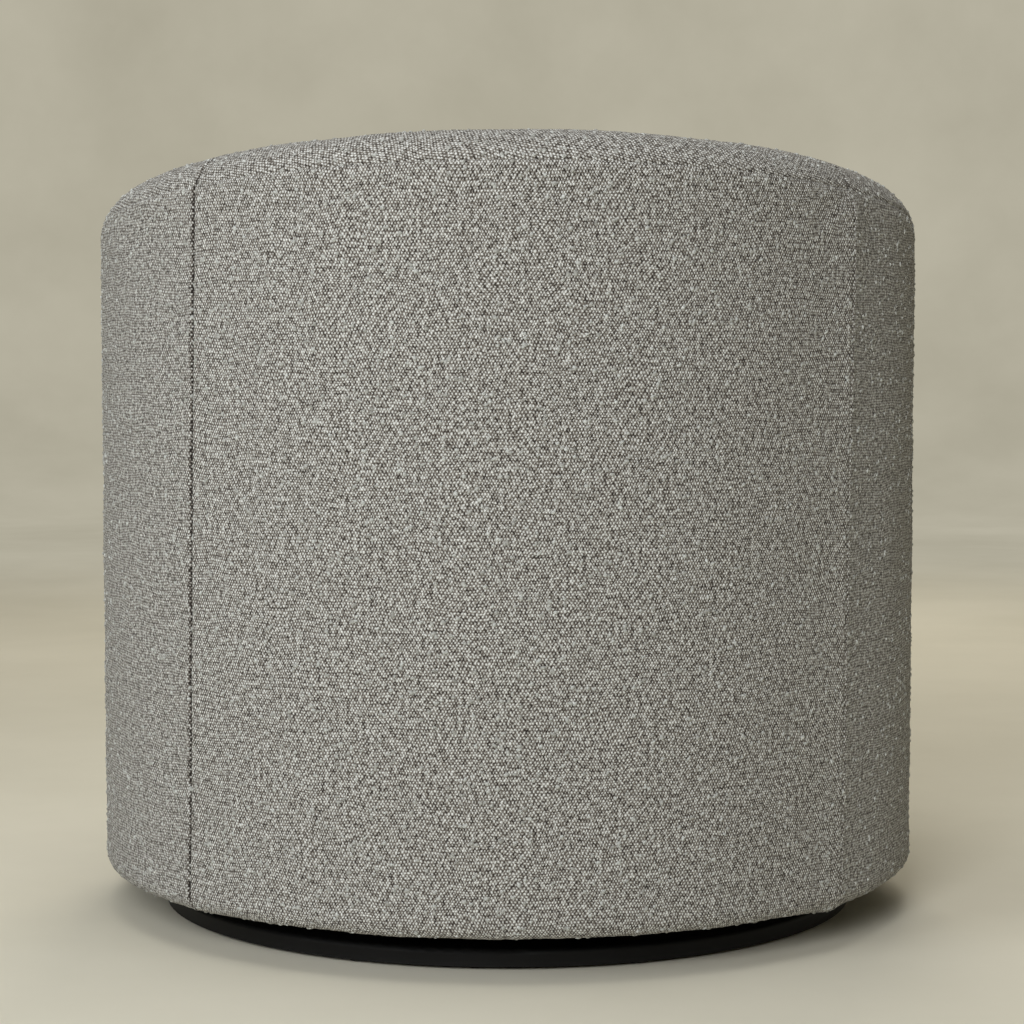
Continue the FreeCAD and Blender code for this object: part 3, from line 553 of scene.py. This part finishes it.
def band_side(side):
    """Half of the band, from the hem up an arm front and along the top to the middle."""
    heights, flat, theta, phi, count = band_stations()
    total = sum(count)
    tall, drawn, turn = hem(np.concatenate([heights, np.full(total - count[0], ABOVE_HEM)]))
    outer = outer_core(side * theta)
    z = inner_core_top(phi)
    z[:count[0]] = np.minimum(tall[:count[0]], INNER_TOP_HEIGHT)
    outer[:count[0], 2] = tall[:count[0]]
    phi[:count[0]] = inner_end_angle(z[:count[0]])
    inner = inner_core(side * phi, z)
    facing = np.broadcast_to(arm_front(side), outer.shape)
    upward = swing(facing, np.broadcast_to(TOP_NORMAL, outer.shape), flat)
    lateral = outward(side * theta)
    inside = inward(side * phi, z)
    first = math.cos(BAND_CLIMB) * lateral + math.sin(BAND_CLIMB) * square_to(upward, lateral)
    last = math.cos(INNER_CLIMB) * inside + math.sin(INNER_CLIMB) * square_to(upward, inside)
    return outer, inner, first, upward, last, TOP_ROUND - drawn, turn


def band_surface(stations, across):
    """Points and normals of the band at shares across it, from the outer seam to the inner one."""
    outer, inner, first, upward, last, radius, turn = [a[:, None] for a in stations]
    share = np.broadcast_to(across, (len(outer), len(across)))
    lead = radius * np.arccos((first * upward).sum(-1))
    flat = np.linalg.norm(inner - outer, axis=-1)
    trail = radius * np.arccos((upward * last).sum(-1))
    length = share * (lead + flat + trail)
    over = np.clip(length / lead, 0, 1)
    beyond = np.clip((length - lead) / flat, 0, 1)
    down = np.clip((length - lead - flat) / trail, 0, 1)
    shape = share.shape + (3,)
    normal = swing(np.broadcast_to(first, shape), np.broadcast_to(upward, shape), over)
    falling = swing(np.broadcast_to(upward, shape), np.broadcast_to(last, shape), down)
    normal = np.where(down[..., None] > 0, falling, normal)
    centre = outer + (inner - outer) * beyond[..., None]
    points = centre + radius[..., None] * normal
    normal = np.cos(turn)[..., None] * normal - np.sin(turn)[..., None] * UP
    return points, normal, length


# Cloth relief

def lumps(points, size, shift):
    """Smooth noise at each point, about -1 to 1."""
    flat = (points.reshape(-1, 3) / size + shift).tolist()
    return np.array([noise.noise(p) for p in flat]).reshape(points.shape[:-1])


def relief(points, seam_distance, ridge, depth=SEAM_DEPTH):
    """How far the cloth stands out: in at a seam, full or ridged beside it, lumpy all over."""
    groove = np.clip(1 - seam_distance / SEAM_WIDTH, 0, 1) ** 1.5
    puff = PUFF * np.exp(-seam_distance / PUFF_REACH)
    crown = ridge * np.exp(-seam_distance / CROWN_REACH)
    uneven = LUMP * lumps(points, LUMP_SIZE, 0.0) + SWELL * lumps(points, SWELL_SIZE, 7.0)
    return (1 - groove) * (puff + uneven) + crown - depth * groove


def spaced(low, high):
    """Lengths from low to high, closer together within a seam's width of both ends."""
    near = SEAM_WIDTH * np.array([0.0, 0.16, 0.36, 0.62, 1.0])
    inner = np.linspace(low + SEAM_WIDTH, high - SEAM_WIDTH, max(3, int((high - low) / CELL)))
    return np.concatenate([low + near[:-1], inner, (high - near[:-1])[::-1]])


def cloth_grid(name, points, normal, uv, material, seam=None):
    """Smooth quad mesh over a grid of points, facing as its normals say, with the weave's UV."""
    rows, columns = points.shape[:2]
    index = np.arange(rows * columns).reshape(rows, columns)
    corners = [index[:-1, :-1], index[1:, :-1], index[1:, 1:], index[:-1, 1:]]
    quads = np.stack(corners, -1).reshape(-1, 4)
    flat = points.reshape(-1, 3)
    middle = quads[len(quads) // 2]
    facing = np.cross(flat[middle[1]] - flat[middle[0]], flat[middle[3]] - flat[middle[0]])
    if facing @ normal.reshape(-1, 3)[middle[0]] < 0:
        quads = quads[:, ::-1]
    mesh = bpy.data.meshes.new(name)
    mesh.from_pydata(flat.tolist(), [], quads.tolist())
    layer = mesh.uv_layers.new(name="UVMap")
    layer.data.foreach_set("uv", uv.reshape(-1, 2)[quads.reshape(-1)].astype(np.float32).ravel())
    mesh.polygons.foreach_set("use_smooth", np.ones(len(quads), bool))
    mesh.materials.append(MATERIALS[material])
    if seam is not None:
        mark_seam_shade(mesh, seam)
    piece = bpy.data.objects.new(name, mesh)
    bpy.context.scene.collection.objects.link(piece)
    return piece


def mark_seam_shade(mesh, seam_distance):
    """Keeps how near each point is to a seam, where the weave is painted darker as shade in the
    groove.
    """
    nearness = np.exp(-(seam_distance / SEAM_SHADE_REACH) ** 2)
    layer = mesh.attributes.new("seam", "FLOAT", "POINT")
    layer.data.foreach_set("value", nearness.astype(np.float32).ravel())


def turned_uv(u, v, angle):
    cosine, sine = math.cos(angle), math.sin(angle)
    return np.stack([u * cosine - v * sine, u * sine + v * cosine], -1)


# Slubs that stand out of the weave

def slub_tree():
    """Geometry nodes: scatters small flattened yarn curls over a panel, and joins them to it."""
    tree = bpy.data.node_groups.new("boucle_slubs", "GeometryNodeTree")
    for label, kind in (("Panel", "NodeSocketGeometry"), ("Slubs per area", "NodeSocketFloat"),
                        ("Slub length", "NodeSocketFloat"), ("Slub material", "NodeSocketMaterial"),
                        ("Seed", "NodeSocketInt")):
        tree.interface.new_socket(label, in_out="INPUT", socket_type=kind)
    tree.interface.new_socket("Cloth", in_out="OUTPUT", socket_type="NodeSocketGeometry")
    given = node(tree, "NodeGroupInput").outputs
    spots = node(tree, "GeometryNodeDistributePointsOnFaces", {"distribute_method": "RANDOM"},
                 mesh=given["Panel"], density=given["Slubs per area"], seed=given["Seed"])
    ball = node(tree, "GeometryNodeMeshIcoSphere", radius=0.5, subdivisions=1)
    smooth = node(tree, "GeometryNodeSetShadeSmooth", geometry=ball)
    marked = node(tree, "GeometryNodeStoreNamedAttribute",
                  {"data_type": "BOOLEAN", "domain": "FACE"},
                  geometry=smooth, name="slub", value=True)
    spin = node(tree, "FunctionNodeRandomValue", {"data_type": "FLOAT"},
                min=0.0, max=2 * math.pi, seed=given["Seed"])
    about = node(tree, "ShaderNodeCombineXYZ", z=spin.outputs[1])
    turn = node(tree, "FunctionNodeRotateRotation", {"rotation_space": "LOCAL"},
                rotation=spots.outputs["Rotation"], rotate_by=about)
    size = node(tree, "FunctionNodeRandomValue", {"data_type": "FLOAT_VECTOR"},
                i0=(0.55, 0.45, 0.3), i1=(1.15, 0.8, 0.5), seed=given["Seed"])
    scale = node(tree, "ShaderNodeVectorMath", {"operation": "SCALE"},
                 i0=size, scale=given["Slub length"])
    curls = node(tree, "GeometryNodeInstanceOnPoints", points=spots, instance=marked,
                 rotation=turn, scale=scale)
    both = node(tree, "GeometryNodeJoinGeometry")
    tree.links.new(given["Panel"], both.inputs[0])
    tree.links.new(curls.outputs[0], both.inputs[0])
    real = node(tree, "GeometryNodeRealizeInstances", geometry=both)
    is_slub = node(tree, "GeometryNodeInputNamedAttribute", {"data_type": "BOOLEAN"}, name="slub")
    painted = node(tree, "GeometryNodeSetMaterial", geometry=real,
                   selection=is_slub.outputs["Attribute"], material=given["Slub material"])
    node(tree, "NodeGroupOutput", i0=painted)
    return tree


SLUB_TREE = slub_tree()


def add_slubs(piece, seed):
    """Joins slubs to the panel's mesh, as plain faces."""
    modifier = piece.modifiers.new("slubs", "NODES")
    modifier.node_group = SLUB_TREE
    values = {"Slubs per area": SLUBS_PER_AREA, "Slub length": SLUB_LENGTH,
              "Slub material": MATERIALS["slub"], "Seed": seed}
    for item in SLUB_TREE.interface.items_tree:
        if item.name in values:
            modifier[item.identifier] = values[item.name]
    evaluated = piece.evaluated_get(bpy.context.evaluated_depsgraph_get())
    mesh = bpy.data.meshes.new_from_object(evaluated)
    piece.modifiers.remove(modifier)
    mesh.name = piece.name
    piece.data = mesh


def dress(piece, body, nodes, seed=None):
    """Slubs where they are wanted, then the piece rides on its body in place of its CAD nodes."""
    if seed is not None:
        add_slubs(piece, seed)
    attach(piece, body)
    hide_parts(*nodes)


# Panels of the shell

def seam_line(side, t):
    """Length round the back at which a side seam runs. Both lean to one side as they climb."""
    return side * SIDE_SEAM * OUTER_RADIUS + SEAM_SHIFT[side] - SEAM_LEAN * (t - HEM_HEIGHT)


def outside_panel(name, start, end, nodes, seed):
    """Outside panel from under the hem up to the band's seam.

    It runs between two side seams, each given as 1 or -1, or to an arm's end, given as 0. The seam
    on the sitter's right lies in a soft ridge, where the filling under it is thicker.
    """
    climb = TOP_ROUND * math.sin(BAND_CLIMB)
    reach = CORE_END * OUTER_RADIUS
    tall = spaced(HEM_START, PANEL_TALL)
    low = seam_line(start, tall) if start else np.full(len(tall), -reach - climb)
    high = seam_line(end, tall) if end else np.full(len(tall), reach + climb)
    along = spaced(0.0, float(high[0] - low[0])) / float(high[0] - low[0])
    s = low + along[:, None] * (high - low)
    past = np.clip(np.abs(s) - reach, 0, None)
    core_top = outer_core(np.clip(s, -reach, reach) / OUTER_RADIUS)[..., 2]
    top = core_top + np.sqrt(np.clip(climb ** 2 - past ** 2, 0, None))
    t = HEM_START + (tall - HEM_START) / (PANEL_TALL - HEM_START) * (top - HEM_START)
    points, normal = outside_wall(s, t)
    sides = np.minimum(s - low, high - s)
    seam = np.minimum(sides, top - t)
    beside = sides <= top - t
    raised = beside & (s < 0) & (np.abs(s) < reach - CROWN_REACH)
    ridge = RIDGE * raised * np.clip((top - t) / CROWN_REACH, 0, 1)
    depth = np.where(raised, SHALLOW_SEAM, np.where(beside, SEAM_DEPTH, FAINT_SEAM))
    points = points + normal * relief(points, seam, ridge, depth)[..., None]
    plain = np.where(beside, seam, sides)
    # Distance that sets the painted seam shade, which ends sooner in the ridge's seam
    seam_shade_distance = np.where(raised, RIDGE_SHADE * seam + SEAM_SHADE_REACH, plain)
    piece = cloth_grid(name, points, normal, np.stack([s, t], -1), "boucle", seam_shade_distance)
    dress(piece, "seat_shell", nodes, seed)


def band_panels():
    """The band in three pieces, cut on the bias: along the back, and down each arm's front."""
    right = band_side(-1)
    left = band_side(1)
    whole = [np.concatenate([a, b[-2::-1]]) for a, b in zip(right, left)]
    across = spaced(0.0, BAND_WIDE) / BAND_WIDE
    points, normal, length = band_surface(whole, across)
    theta = np.arctan2(whole[0][:, 0], whole[0][:, 1])
    middle = points[:, points.shape[1] // 2]
    run = np.concatenate([[0], np.cumsum(np.linalg.norm(np.diff(middle, axis=0), axis=1))])
    splits = [seam_line(side, BAND_SEAM_HEIGHT) / OUTER_RADIUS for side in (-1, 1)]
    back = np.where((theta >= splits[0]) & (theta <= splits[1]))[0]
    first, last = back[0], back[-1]
    parts = (("band_back_boucle", first, last, ["top_band_back"]),
             ("band_right_boucle", 0, first, ["top_band_right"]),
             ("band_left_boucle", last, len(run) - 1, ["top_band_left"]))
    for seed, (name, a, b, nodes) in enumerate(parts):
        part = slice(a, b + 1)
        u = run[part, None] + 0 * length[part]
        v = length[part]
        width = length[part, -1:]
        from_start = u - run[a] if a > 0 else NO_SEAM
        to_end = run[b] - u if b < len(run) - 1 else NO_SEAM
        along = np.minimum(from_start, to_end)
        seam = np.minimum(np.minimum(v, width - v), along)
        depth = np.where(v < 2 * SEAM_WIDTH, FAINT_SEAM, SEAM_DEPTH)
        shaped = points[part] + normal[part] * relief(points[part], seam, 0.0, depth)[..., None]
        # Distance that sets the painted seam shade, which is left off the faint seam to the outside
        # panels
        seam_shade_distance = np.minimum(width - v, along)
        piece = cloth_grid(name, shaped, normal[part], turned_uv(u, v, BIAS), "boucle", seam_shade_distance)
        dress(piece, "seat_shell", nodes, 20 + seed)


def inside_panel(name, start, end, nodes, seed):
    """Inside panel between two angles round the seat, from under the deck to the band's seam."""
    low = DECK_HEIGHT - BELOW_DECK
    span = INNER_TOP_ANGLE
    first, last = max(start / span, -1), min(end / span, 1)
    radius = INNER_RADIUS
    share = spaced(first * span * radius, last * span * radius)[:, None] / (span * radius)
    v = spaced(0.0, INSIDE_TALL)[None] / INSIDE_TALL
    share, v = np.broadcast_arrays(share, v)
    points, normal, s, tall = inside_wall(share, v, low)
    sides = np.minimum(s - s[:1], s[-1:] - s)
    seam = np.minimum(sides, tall[:, -1:] - tall)
    points = points + normal * relief(points, seam, 0.0)[..., None]
    piece = cloth_grid(name, points, normal, np.stack([-s, tall], -1), "boucle", seam)
    dress(piece, "seat_shell", nodes, seed)


def front_panel():
    """Front below the seat: a round panel between the arm fronts, turned over the deck's edge."""
    radius = OUTER_RADIUS - FRONT_INSET
    edge = CORE_END + FRONT_TUCK
    s = spaced(edge * radius, (2 * math.pi - edge) * radius)[:, None]
    high = DECK_HEIGHT - FRONT_TOP_ROUND
    over = FRONT_TOP_ROUND * math.pi / 2
    t = spaced(HEM_START, high + over + FRONT_LAP)[None]
    s, t = np.broadcast_arrays(s, t)
    height, drawn, turn = hem(t)
    lean = np.clip((t - high) / FRONT_TOP_ROUND, 0, math.pi / 2)
    lap = np.clip(t - high - over, 0, None)
    theta = s / radius
    out = radius - drawn - FRONT_TOP_ROUND * (1 - np.cos(lean)) - lap
    height = np.where(t > high, high + FRONT_TOP_ROUND * np.sin(lean), height)
    normal = (np.cos(turn) * np.cos(lean))[..., None] * outward(theta)
    normal = normal + (np.sin(lean) - np.sin(turn))[..., None] * UP
    points = out[..., None] * outward(theta)
    points[..., 2] = height
    seam = np.minimum(s - edge * radius, (2 * math.pi - edge) * radius - s)
    points = points + normal * (relief(points, seam, 0.0) - FRONT_SINK)[..., None]
    piece = cloth_grid("front_panel_boucle", points, normal, np.stack([s, t], -1), "boucle", seam)
    dress(piece, "seat_shell", ["front_panel_cover"], 31)


# Loose T cushion

def cushion_edge(x, y):
    """Distance outside the cushion's plan: a round well joined to ears in front of the arm ends."""
    well = np.hypot(x, y + INNER_SETBACK) - (INNER_RADIUS - CUSHION_CLEARANCE)
    rim = np.hypot(x, y) - OUTER_RADIUS
    arms = CUSHION_CLEARANCE - (np.abs(x) * math.cos(ARM_END) - y * math.sin(ARM_END))
    p, q = rim + EAR_ROUND, arms + EAR_ROUND
    ears = np.hypot(np.maximum(p, 0), np.maximum(q, 0)) + np.minimum(np.maximum(p, q), 0)
    ears = ears - EAR_ROUND
    notch = TOP_ROUND + CUSHION_CLEARANCE
    blend = np.hypot(np.maximum(notch - well, 0), np.maximum(notch - ears, 0))
    return np.maximum(notch, np.minimum(well, ears)) - blend


def edge_along(angle, inside):
    """Distance from the cushion's middle, in each direction, at which the inside of a plan ends."""
    near = np.full(angle.shape, 0.12)
    far = np.full(angle.shape, 0.42)
    for _ in range(40):
        middle = 0.5 * (near + far)
        hit = inside(middle * np.sin(angle), CUSHION_CENTRE + middle * np.cos(angle))
        near = np.where(hit, middle, near)
        far = np.where(hit, far, middle)
    return near


def cushion_reach(angle, inset):
    """Distance from the cushion's middle to its edge, drawn in by an inset."""
    return edge_along(angle, lambda x, y: cushion_edge(x, y) < -inset)


def cushion_form(inset):
    """Closed form of the cushion: flat below, rounded rims, a low crown on top."""
    angle = np.linspace(0, 2 * math.pi, 360, endpoint=False)
    rim = np.linspace(0, math.pi / 2, 7)
    soft = CUSHION_ROUND
    low = DECK_HEIGHT + inset
    high = SEAT_EDGE - inset
    inner = np.linspace(0.06, 1, 9)
    profile = [(k, soft, low) for k in inner[:-1]]
    profile += [(1.0, soft * (1 - math.sin(a)), low + soft * (1 - math.cos(a))) for a in rim]
    profile += [(1.0, soft * (1 - math.cos(a)), high - soft * (1 - math.sin(a))) for a in rim]
    profile += [(k, soft, high) for k in inner[-2::-1]]
    rings = []
    for share, draw, z in profile:
        reach = cushion_reach(angle, inset + draw) * share
        crown = CUSHION_CROWN * (1 - share ** 2) if z > SEAT_EDGE - inset - 1e-6 else 0.0
        x, y = reach * np.sin(angle), CUSHION_CENTRE + reach * np.cos(angle)
        rings.append(stack(x, y, z + crown))
    return np.array(rings)


def cushion_mesh():
    """Remeshed and inflated cushion, as a finished plain mesh."""
    rings = cushion_form(CUSHION_START)
    rows, columns = rings.shape[:2]
    index = np.arange(rows * columns).reshape(rows, columns)
    after = np.roll(index, -1, axis=1)
    quads = np.stack([index[:-1], index[1:], after[1:], after[:-1]], -1).reshape(-1, 4)
    faces = quads.tolist() + [index[0].tolist(), index[-1][::-1].tolist()]
    mesh = bpy.data.meshes.new("seat_cushion_boucle")
    mesh.from_pydata(rings.reshape(-1, 3).tolist(), [], faces)
    piece = bpy.data.objects.new("seat_cushion_boucle", mesh)
    bpy.context.scene.collection.objects.link(piece)
    remesh = piece.modifiers.new("remesh", "REMESH")
    remesh.mode = "VOXEL"
    remesh.voxel_size = CUSHION_VOXEL
    remesh.use_smooth_shade = True
    apply_modifiers(piece)
    rest = vertex_array(piece.data)
    inflate(piece)
    moved = vertex_array(piece.data) - rest
    far = np.linalg.norm(moved, axis=1, keepdims=True)
    moved = moved * np.minimum(1, CUSHION_CAP / np.maximum(far, 1e-9))
    piece.data.vertices.foreach_set("co", (rest + moved).astype(np.float32).ravel())
    finer = piece.modifiers.new("finer", "SUBSURF")
    finer.levels = 1
    finer.render_levels = 1
    apply_modifiers(piece)
    return piece


def vertex_array(mesh):
    flat = np.zeros(len(mesh.vertices) * 3, np.float32)
    mesh.vertices.foreach_get("co", flat)
    return flat.reshape(-1, 3).astype(float)


def apply_modifiers(piece):
    evaluated = piece.evaluated_get(bpy.context.evaluated_depsgraph_get())
    mesh = bpy.data.meshes.new_from_object(evaluated)
    piece.modifiers.clear()
    mesh.name = piece.name
    piece.data = mesh


def inflate(piece):
    """Cloth simulation with air pressure and no gravity, then the settled shape is kept."""
    cloth = piece.modifiers.new("inflate", "CLOTH")
    cloth.settings.use_pressure = True
    cloth.settings.uniform_pressure_force = CUSHION_PRESSURE
    cloth.settings.effector_weights.gravity = 0.0
    cloth.point_cache.frame_start = 1
    cloth.point_cache.frame_end = CUSHION_STEPS
    for step in range(1, CUSHION_STEPS + 1):
        bpy.context.scene.frame_set(step)
    apply_modifiers(piece)
    bpy.context.scene.frame_set(1)


def seat_cushion():
    piece = cushion_mesh()
    mesh = piece.data
    points = vertex_array(mesh)
    normal = np.zeros(len(points) * 3, np.float32)
    mesh.vertices.foreach_get("normal", normal)
    normal = normal.reshape(-1, 3).astype(float)
    seam_low = DECK_HEIGHT + CUSHION_SEAM * CUSHION_ROUND
    seam_high = SEAT_EDGE - CUSHION_SEAM * CUSHION_ROUND
    edge = cushion_edge(points[:, 0], points[:, 1])
    near_rim = edge > -1.1 * CUSHION_ROUND
    seam = np.minimum(np.abs(points[:, 2] - seam_low), np.abs(points[:, 2] - seam_high))
    seam = np.where(near_rim, seam, NO_SEAM)
    points = zip_placket(points + normal * relief(points, seam, 0.0)[:, None])
    points[:, 2] = np.maximum(points[:, 2], DECK_HEIGHT + CUSHION_REST)
    angle = np.arctan2(points[:, 0], points[:, 1] - CUSHION_CENTRE)
    mesh.vertices.foreach_set("co", points.astype(np.float32).ravel())
    cushion_uv(mesh, points, angle, seam_low, seam_high)
    mesh.polygons.foreach_set("use_smooth", np.ones(len(mesh.polygons), bool))
    mesh.materials.clear()
    mesh.materials.append(MATERIALS["boucle"])
    mark_seam_shade(mesh, seam)
    nodes = ["cushion_core", "cushion_wrap", "cushion_cover_top", "cushion_cover_bottom",
             "cushion_boxing"]
    dress(piece, "seat_cushion", nodes, 41)


def zip_placket(points):
    """Draws the rear of the boxing in, so that the zip's tape and chain lie in a shallow slot."""
    low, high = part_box("zip_tape")
    middle, half = 0.5 * (low.z + high.z), 0.5 * (high.z - low.z)
    back = points[:, 1] + INNER_SETBACK
    radius = np.hypot(points[:, 0], back)
    run = np.abs(np.arctan2(points[:, 0], back)) * radius
    end = math.atan2(high.x, low.y + INNER_SETBACK) * radius
    beside = np.clip((half + PLACKET_LIP - np.abs(points[:, 2] - middle)) / PLACKET_LIP, 0, 1)
    beside = beside * np.clip((end + PLACKET_LIP - run) / PLACKET_LIP, 0, 1)
    floor = math.hypot(high.x, low.y + INNER_SETBACK) - PLACKET_DEPTH
    drawn = beside * np.clip(radius - floor, 0, None)
    points[:, 0] -= drawn * points[:, 0] / radius
    points[:, 1] -= drawn * back / radius
    return points


def cushion_uv(mesh, points, angle, seam_low, seam_high):
    """Weave straight across the top and bottom, and round the boxing between the two seams."""
    loops = np.zeros(len(mesh.loops), np.int32)
    mesh.loops.foreach_get("vertex_index", loops)
    owner = np.repeat(np.arange(len(mesh.polygons)), [p.loop_total for p in mesh.polygons])
    centre = np.zeros(len(mesh.polygons) * 3, np.float32)
    mesh.polygons.foreach_get("center", centre)
    centre = centre.reshape(-1, 3)
    edge = cushion_edge(centre[:, 0], centre[:, 1])
    side = (centre[:, 2] > seam_low) & (centre[:, 2] < seam_high) & (edge > -CUSHION_ROUND)
    where = points[loops]
    turn = angle[loops]
    middle = np.arctan2(centre[:, 0], centre[:, 1] - CUSHION_CENTRE)[owner]
    turn = np.where(turn - middle > math.pi, turn - 2 * math.pi, turn)
    turn = np.where(middle - turn > math.pi, turn + 2 * math.pi, turn)
    table = np.linspace(-2 * math.pi, 2 * math.pi, 2881)
    reach = cushion_reach(table, 0.0)
    edge_points = np.stack([reach * np.sin(table), reach * np.cos(table)], -1)
    run = np.concatenate([[0], np.cumsum(np.linalg.norm(np.diff(edge_points, axis=0), axis=1))])
    around = np.stack([np.interp(turn, table, run), where[:, 2]], -1)
    uv = np.where(side[owner][:, None], around, where[:, :2])
    layer = mesh.uv_layers.new(name="UVMap")
    layer.data.foreach_set("uv", uv.astype(np.float32).ravel())


# Cloths under the seat and under the shell

def on_deck(x, y):
    """Whether a point lies on the platform cloth: in the round well, or on an ear beside it."""
    well = np.hypot(x, y + INNER_SETBACK) < INNER_RADIUS - CLOTH_GAP
    clear = np.abs(x) * math.cos(ARM_END) - y * math.sin(ARM_END) > CLOTH_GAP
    ears = (np.hypot(x, y) < OUTER_RADIUS - FRONT_INSET - FRONT_TOP_ROUND) & clear
    return well | ears


def deck_platform():
    """Platform cloth drawn over the felt and the webbing, a little slack in the middle."""
    angle = np.linspace(0, 2 * math.pi, 241)[:, None]
    share = np.linspace(0.02, 1, 60)[None]
    reach = edge_along(angle, on_deck) * share
    sag = -DECK_SAG * (1 - share ** 2)
    points = stack(reach * np.sin(angle), CUSHION_CENTRE + reach * np.cos(angle), DECK_HEIGHT + sag)
    points[..., 2] += DECK_RIPPLE * lumps(points, DECK_RIPPLE_SIZE, 3.0)
    normal = np.broadcast_to(UP, points.shape)
    piece = cloth_grid("deck_platform_cloth", points, normal, points[..., :2], "platform_cloth")
    dress(piece, "seat_shell", ["deck_cloth", "deck_pad"])


def dust_cloth():
    """Thin black cloth stretched under the shell, between the hem and the spacer board."""
    low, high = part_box("dust_cover")
    outer = high.x
    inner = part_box("spacer_board")[1].x
    angle = np.linspace(0, 2 * math.pi, 361)[:, None]
    radius = np.linspace(inner, outer, 50)[None]
    points = stack(radius * np.sin(angle), radius * np.cos(angle), 0.5 * (low.z + high.z))
    points[..., 2] += DUST_RIPPLE * lumps(points, DUST_RIPPLE_SIZE, 5.0)
    normal = np.broadcast_to(-UP, points.shape)
    piece = cloth_grid("dust_cloth_under", points, normal, points[..., :2], "dust_cloth")
    dress(piece, "seat_shell", ["dust_cover"])


# Finishes of the CAD nodes

def finish_nodes():
    """Each CAD node gets the finish that the record gives it."""
    for entry in frame["record"]["subparts"]:
        data = frame["nodes"][entry["node"]].data
        data.materials.clear()
        data.materials.append(MATERIALS[entry["material_slot"]])


# Studio

def studio():
    """Wide round floor that curves up all round into a low backdrop."""
    bend = np.radians(np.linspace(0, 90, 13))
    edge = FLOOR_RADIUS + BACKDROP_BEND
    radius = np.concatenate([[0.01, 1.0, 2.5, 4.2],
                             FLOOR_RADIUS + BACKDROP_BEND * np.sin(bend), [edge]])[:, None]
    height = np.concatenate([[0, 0, 0, 0],
                             BACKDROP_BEND * (1 - np.cos(bend)), [BACKDROP_HEIGHT]])[:, None]
    turn = np.linspace(0, 2 * math.pi, 97)[None]
    points = stack(radius * np.sin(turn), radius * np.cos(turn), height)
    upright = np.broadcast_to(UP, points.shape)
    cloth_grid("backdrop", points, upright, points[..., :2], "backdrop")


def soft_box(name, place, target, size, power, tint):
    lamp = bpy.data.lights.new(name, "AREA")
    lamp.color = colour(tint)[:3]
    lamp.shape = "RECTANGLE"
    lamp.size, lamp.size_y = size
    lamp.energy = power
    made = bpy.data.objects.new(name, lamp)
    made.location = place
    made.rotation_euler = (Vector(target) - Vector(place)).to_track_quat("-Z", "Y").to_euler()
    bpy.context.scene.collection.objects.link(made)


def lights():
    """Soft daylight from the camera's left, light from above, and a lamp beyond the chair."""
    world = bpy.data.worlds.new("studio_air")
    world.use_nodes = True
    air = world.node_tree.nodes["Background"].inputs
    air["Color"].default_value = colour("#F2E6CC")
    air["Strength"].default_value = 0.05
    bpy.context.scene.world = world
    middle = (0.0, 0.0, 0.4)
    soft_box("front_box", (0.8, 3.4, 1.7), middle, (1.3, 1.4), 74, "#FCFDFF")
    soft_box("left_box", (2.7, 2.2, 1.6), middle, (1.5, 1.8), 31, "#F6FAFF")
    soft_box("top_box", (0.2, 0.3, 3.2), middle, (2.2, 2.2), 34, "#FFFDF6")
    soft_box("far_box", (-0.6, -3.4, 2.2), middle, (1.8, 1.8), 45, "#FFF6E4")


def camera():
    data = bpy.data.cameras.new("camera")
    data.lens = CAMERA_LENS
    data.sensor_width = 36
    made = bpy.data.objects.new("camera", data)
    made.location = CAMERA_PLACE
    made.rotation_euler = (CAMERA_PITCH, 0, CAMERA_TURN)
    bpy.context.scene.collection.objects.link(made)
    bpy.context.scene.camera = made


camera()
studio()
lights()
bpy.context.scene.view_settings.view_transform = "Standard"
finish_nodes()
outside_panel("outside_back_boucle", -1, 1, ["outside_back_cover"], 1)
outside_panel("outside_arm_left_boucle", 1, 0, ["outside_arm_cover_left"], 2)
outside_panel("outside_arm_right_boucle", 0, -1, ["outside_arm_cover_right"], 3)
band_panels()
inside_panel("inside_back_boucle", -INNER_SEAM, INNER_SEAM, ["inside_back_cover"], 11)
inside_panel("inside_arm_left_boucle", INNER_SEAM, math.pi, ["inside_arm_cover_left"], 12)
inside_panel("inside_arm_right_boucle", -math.pi, -INNER_SEAM, ["inside_arm_cover_right"], 13)
front_panel()
seat_cushion()
deck_platform()
dust_cloth()
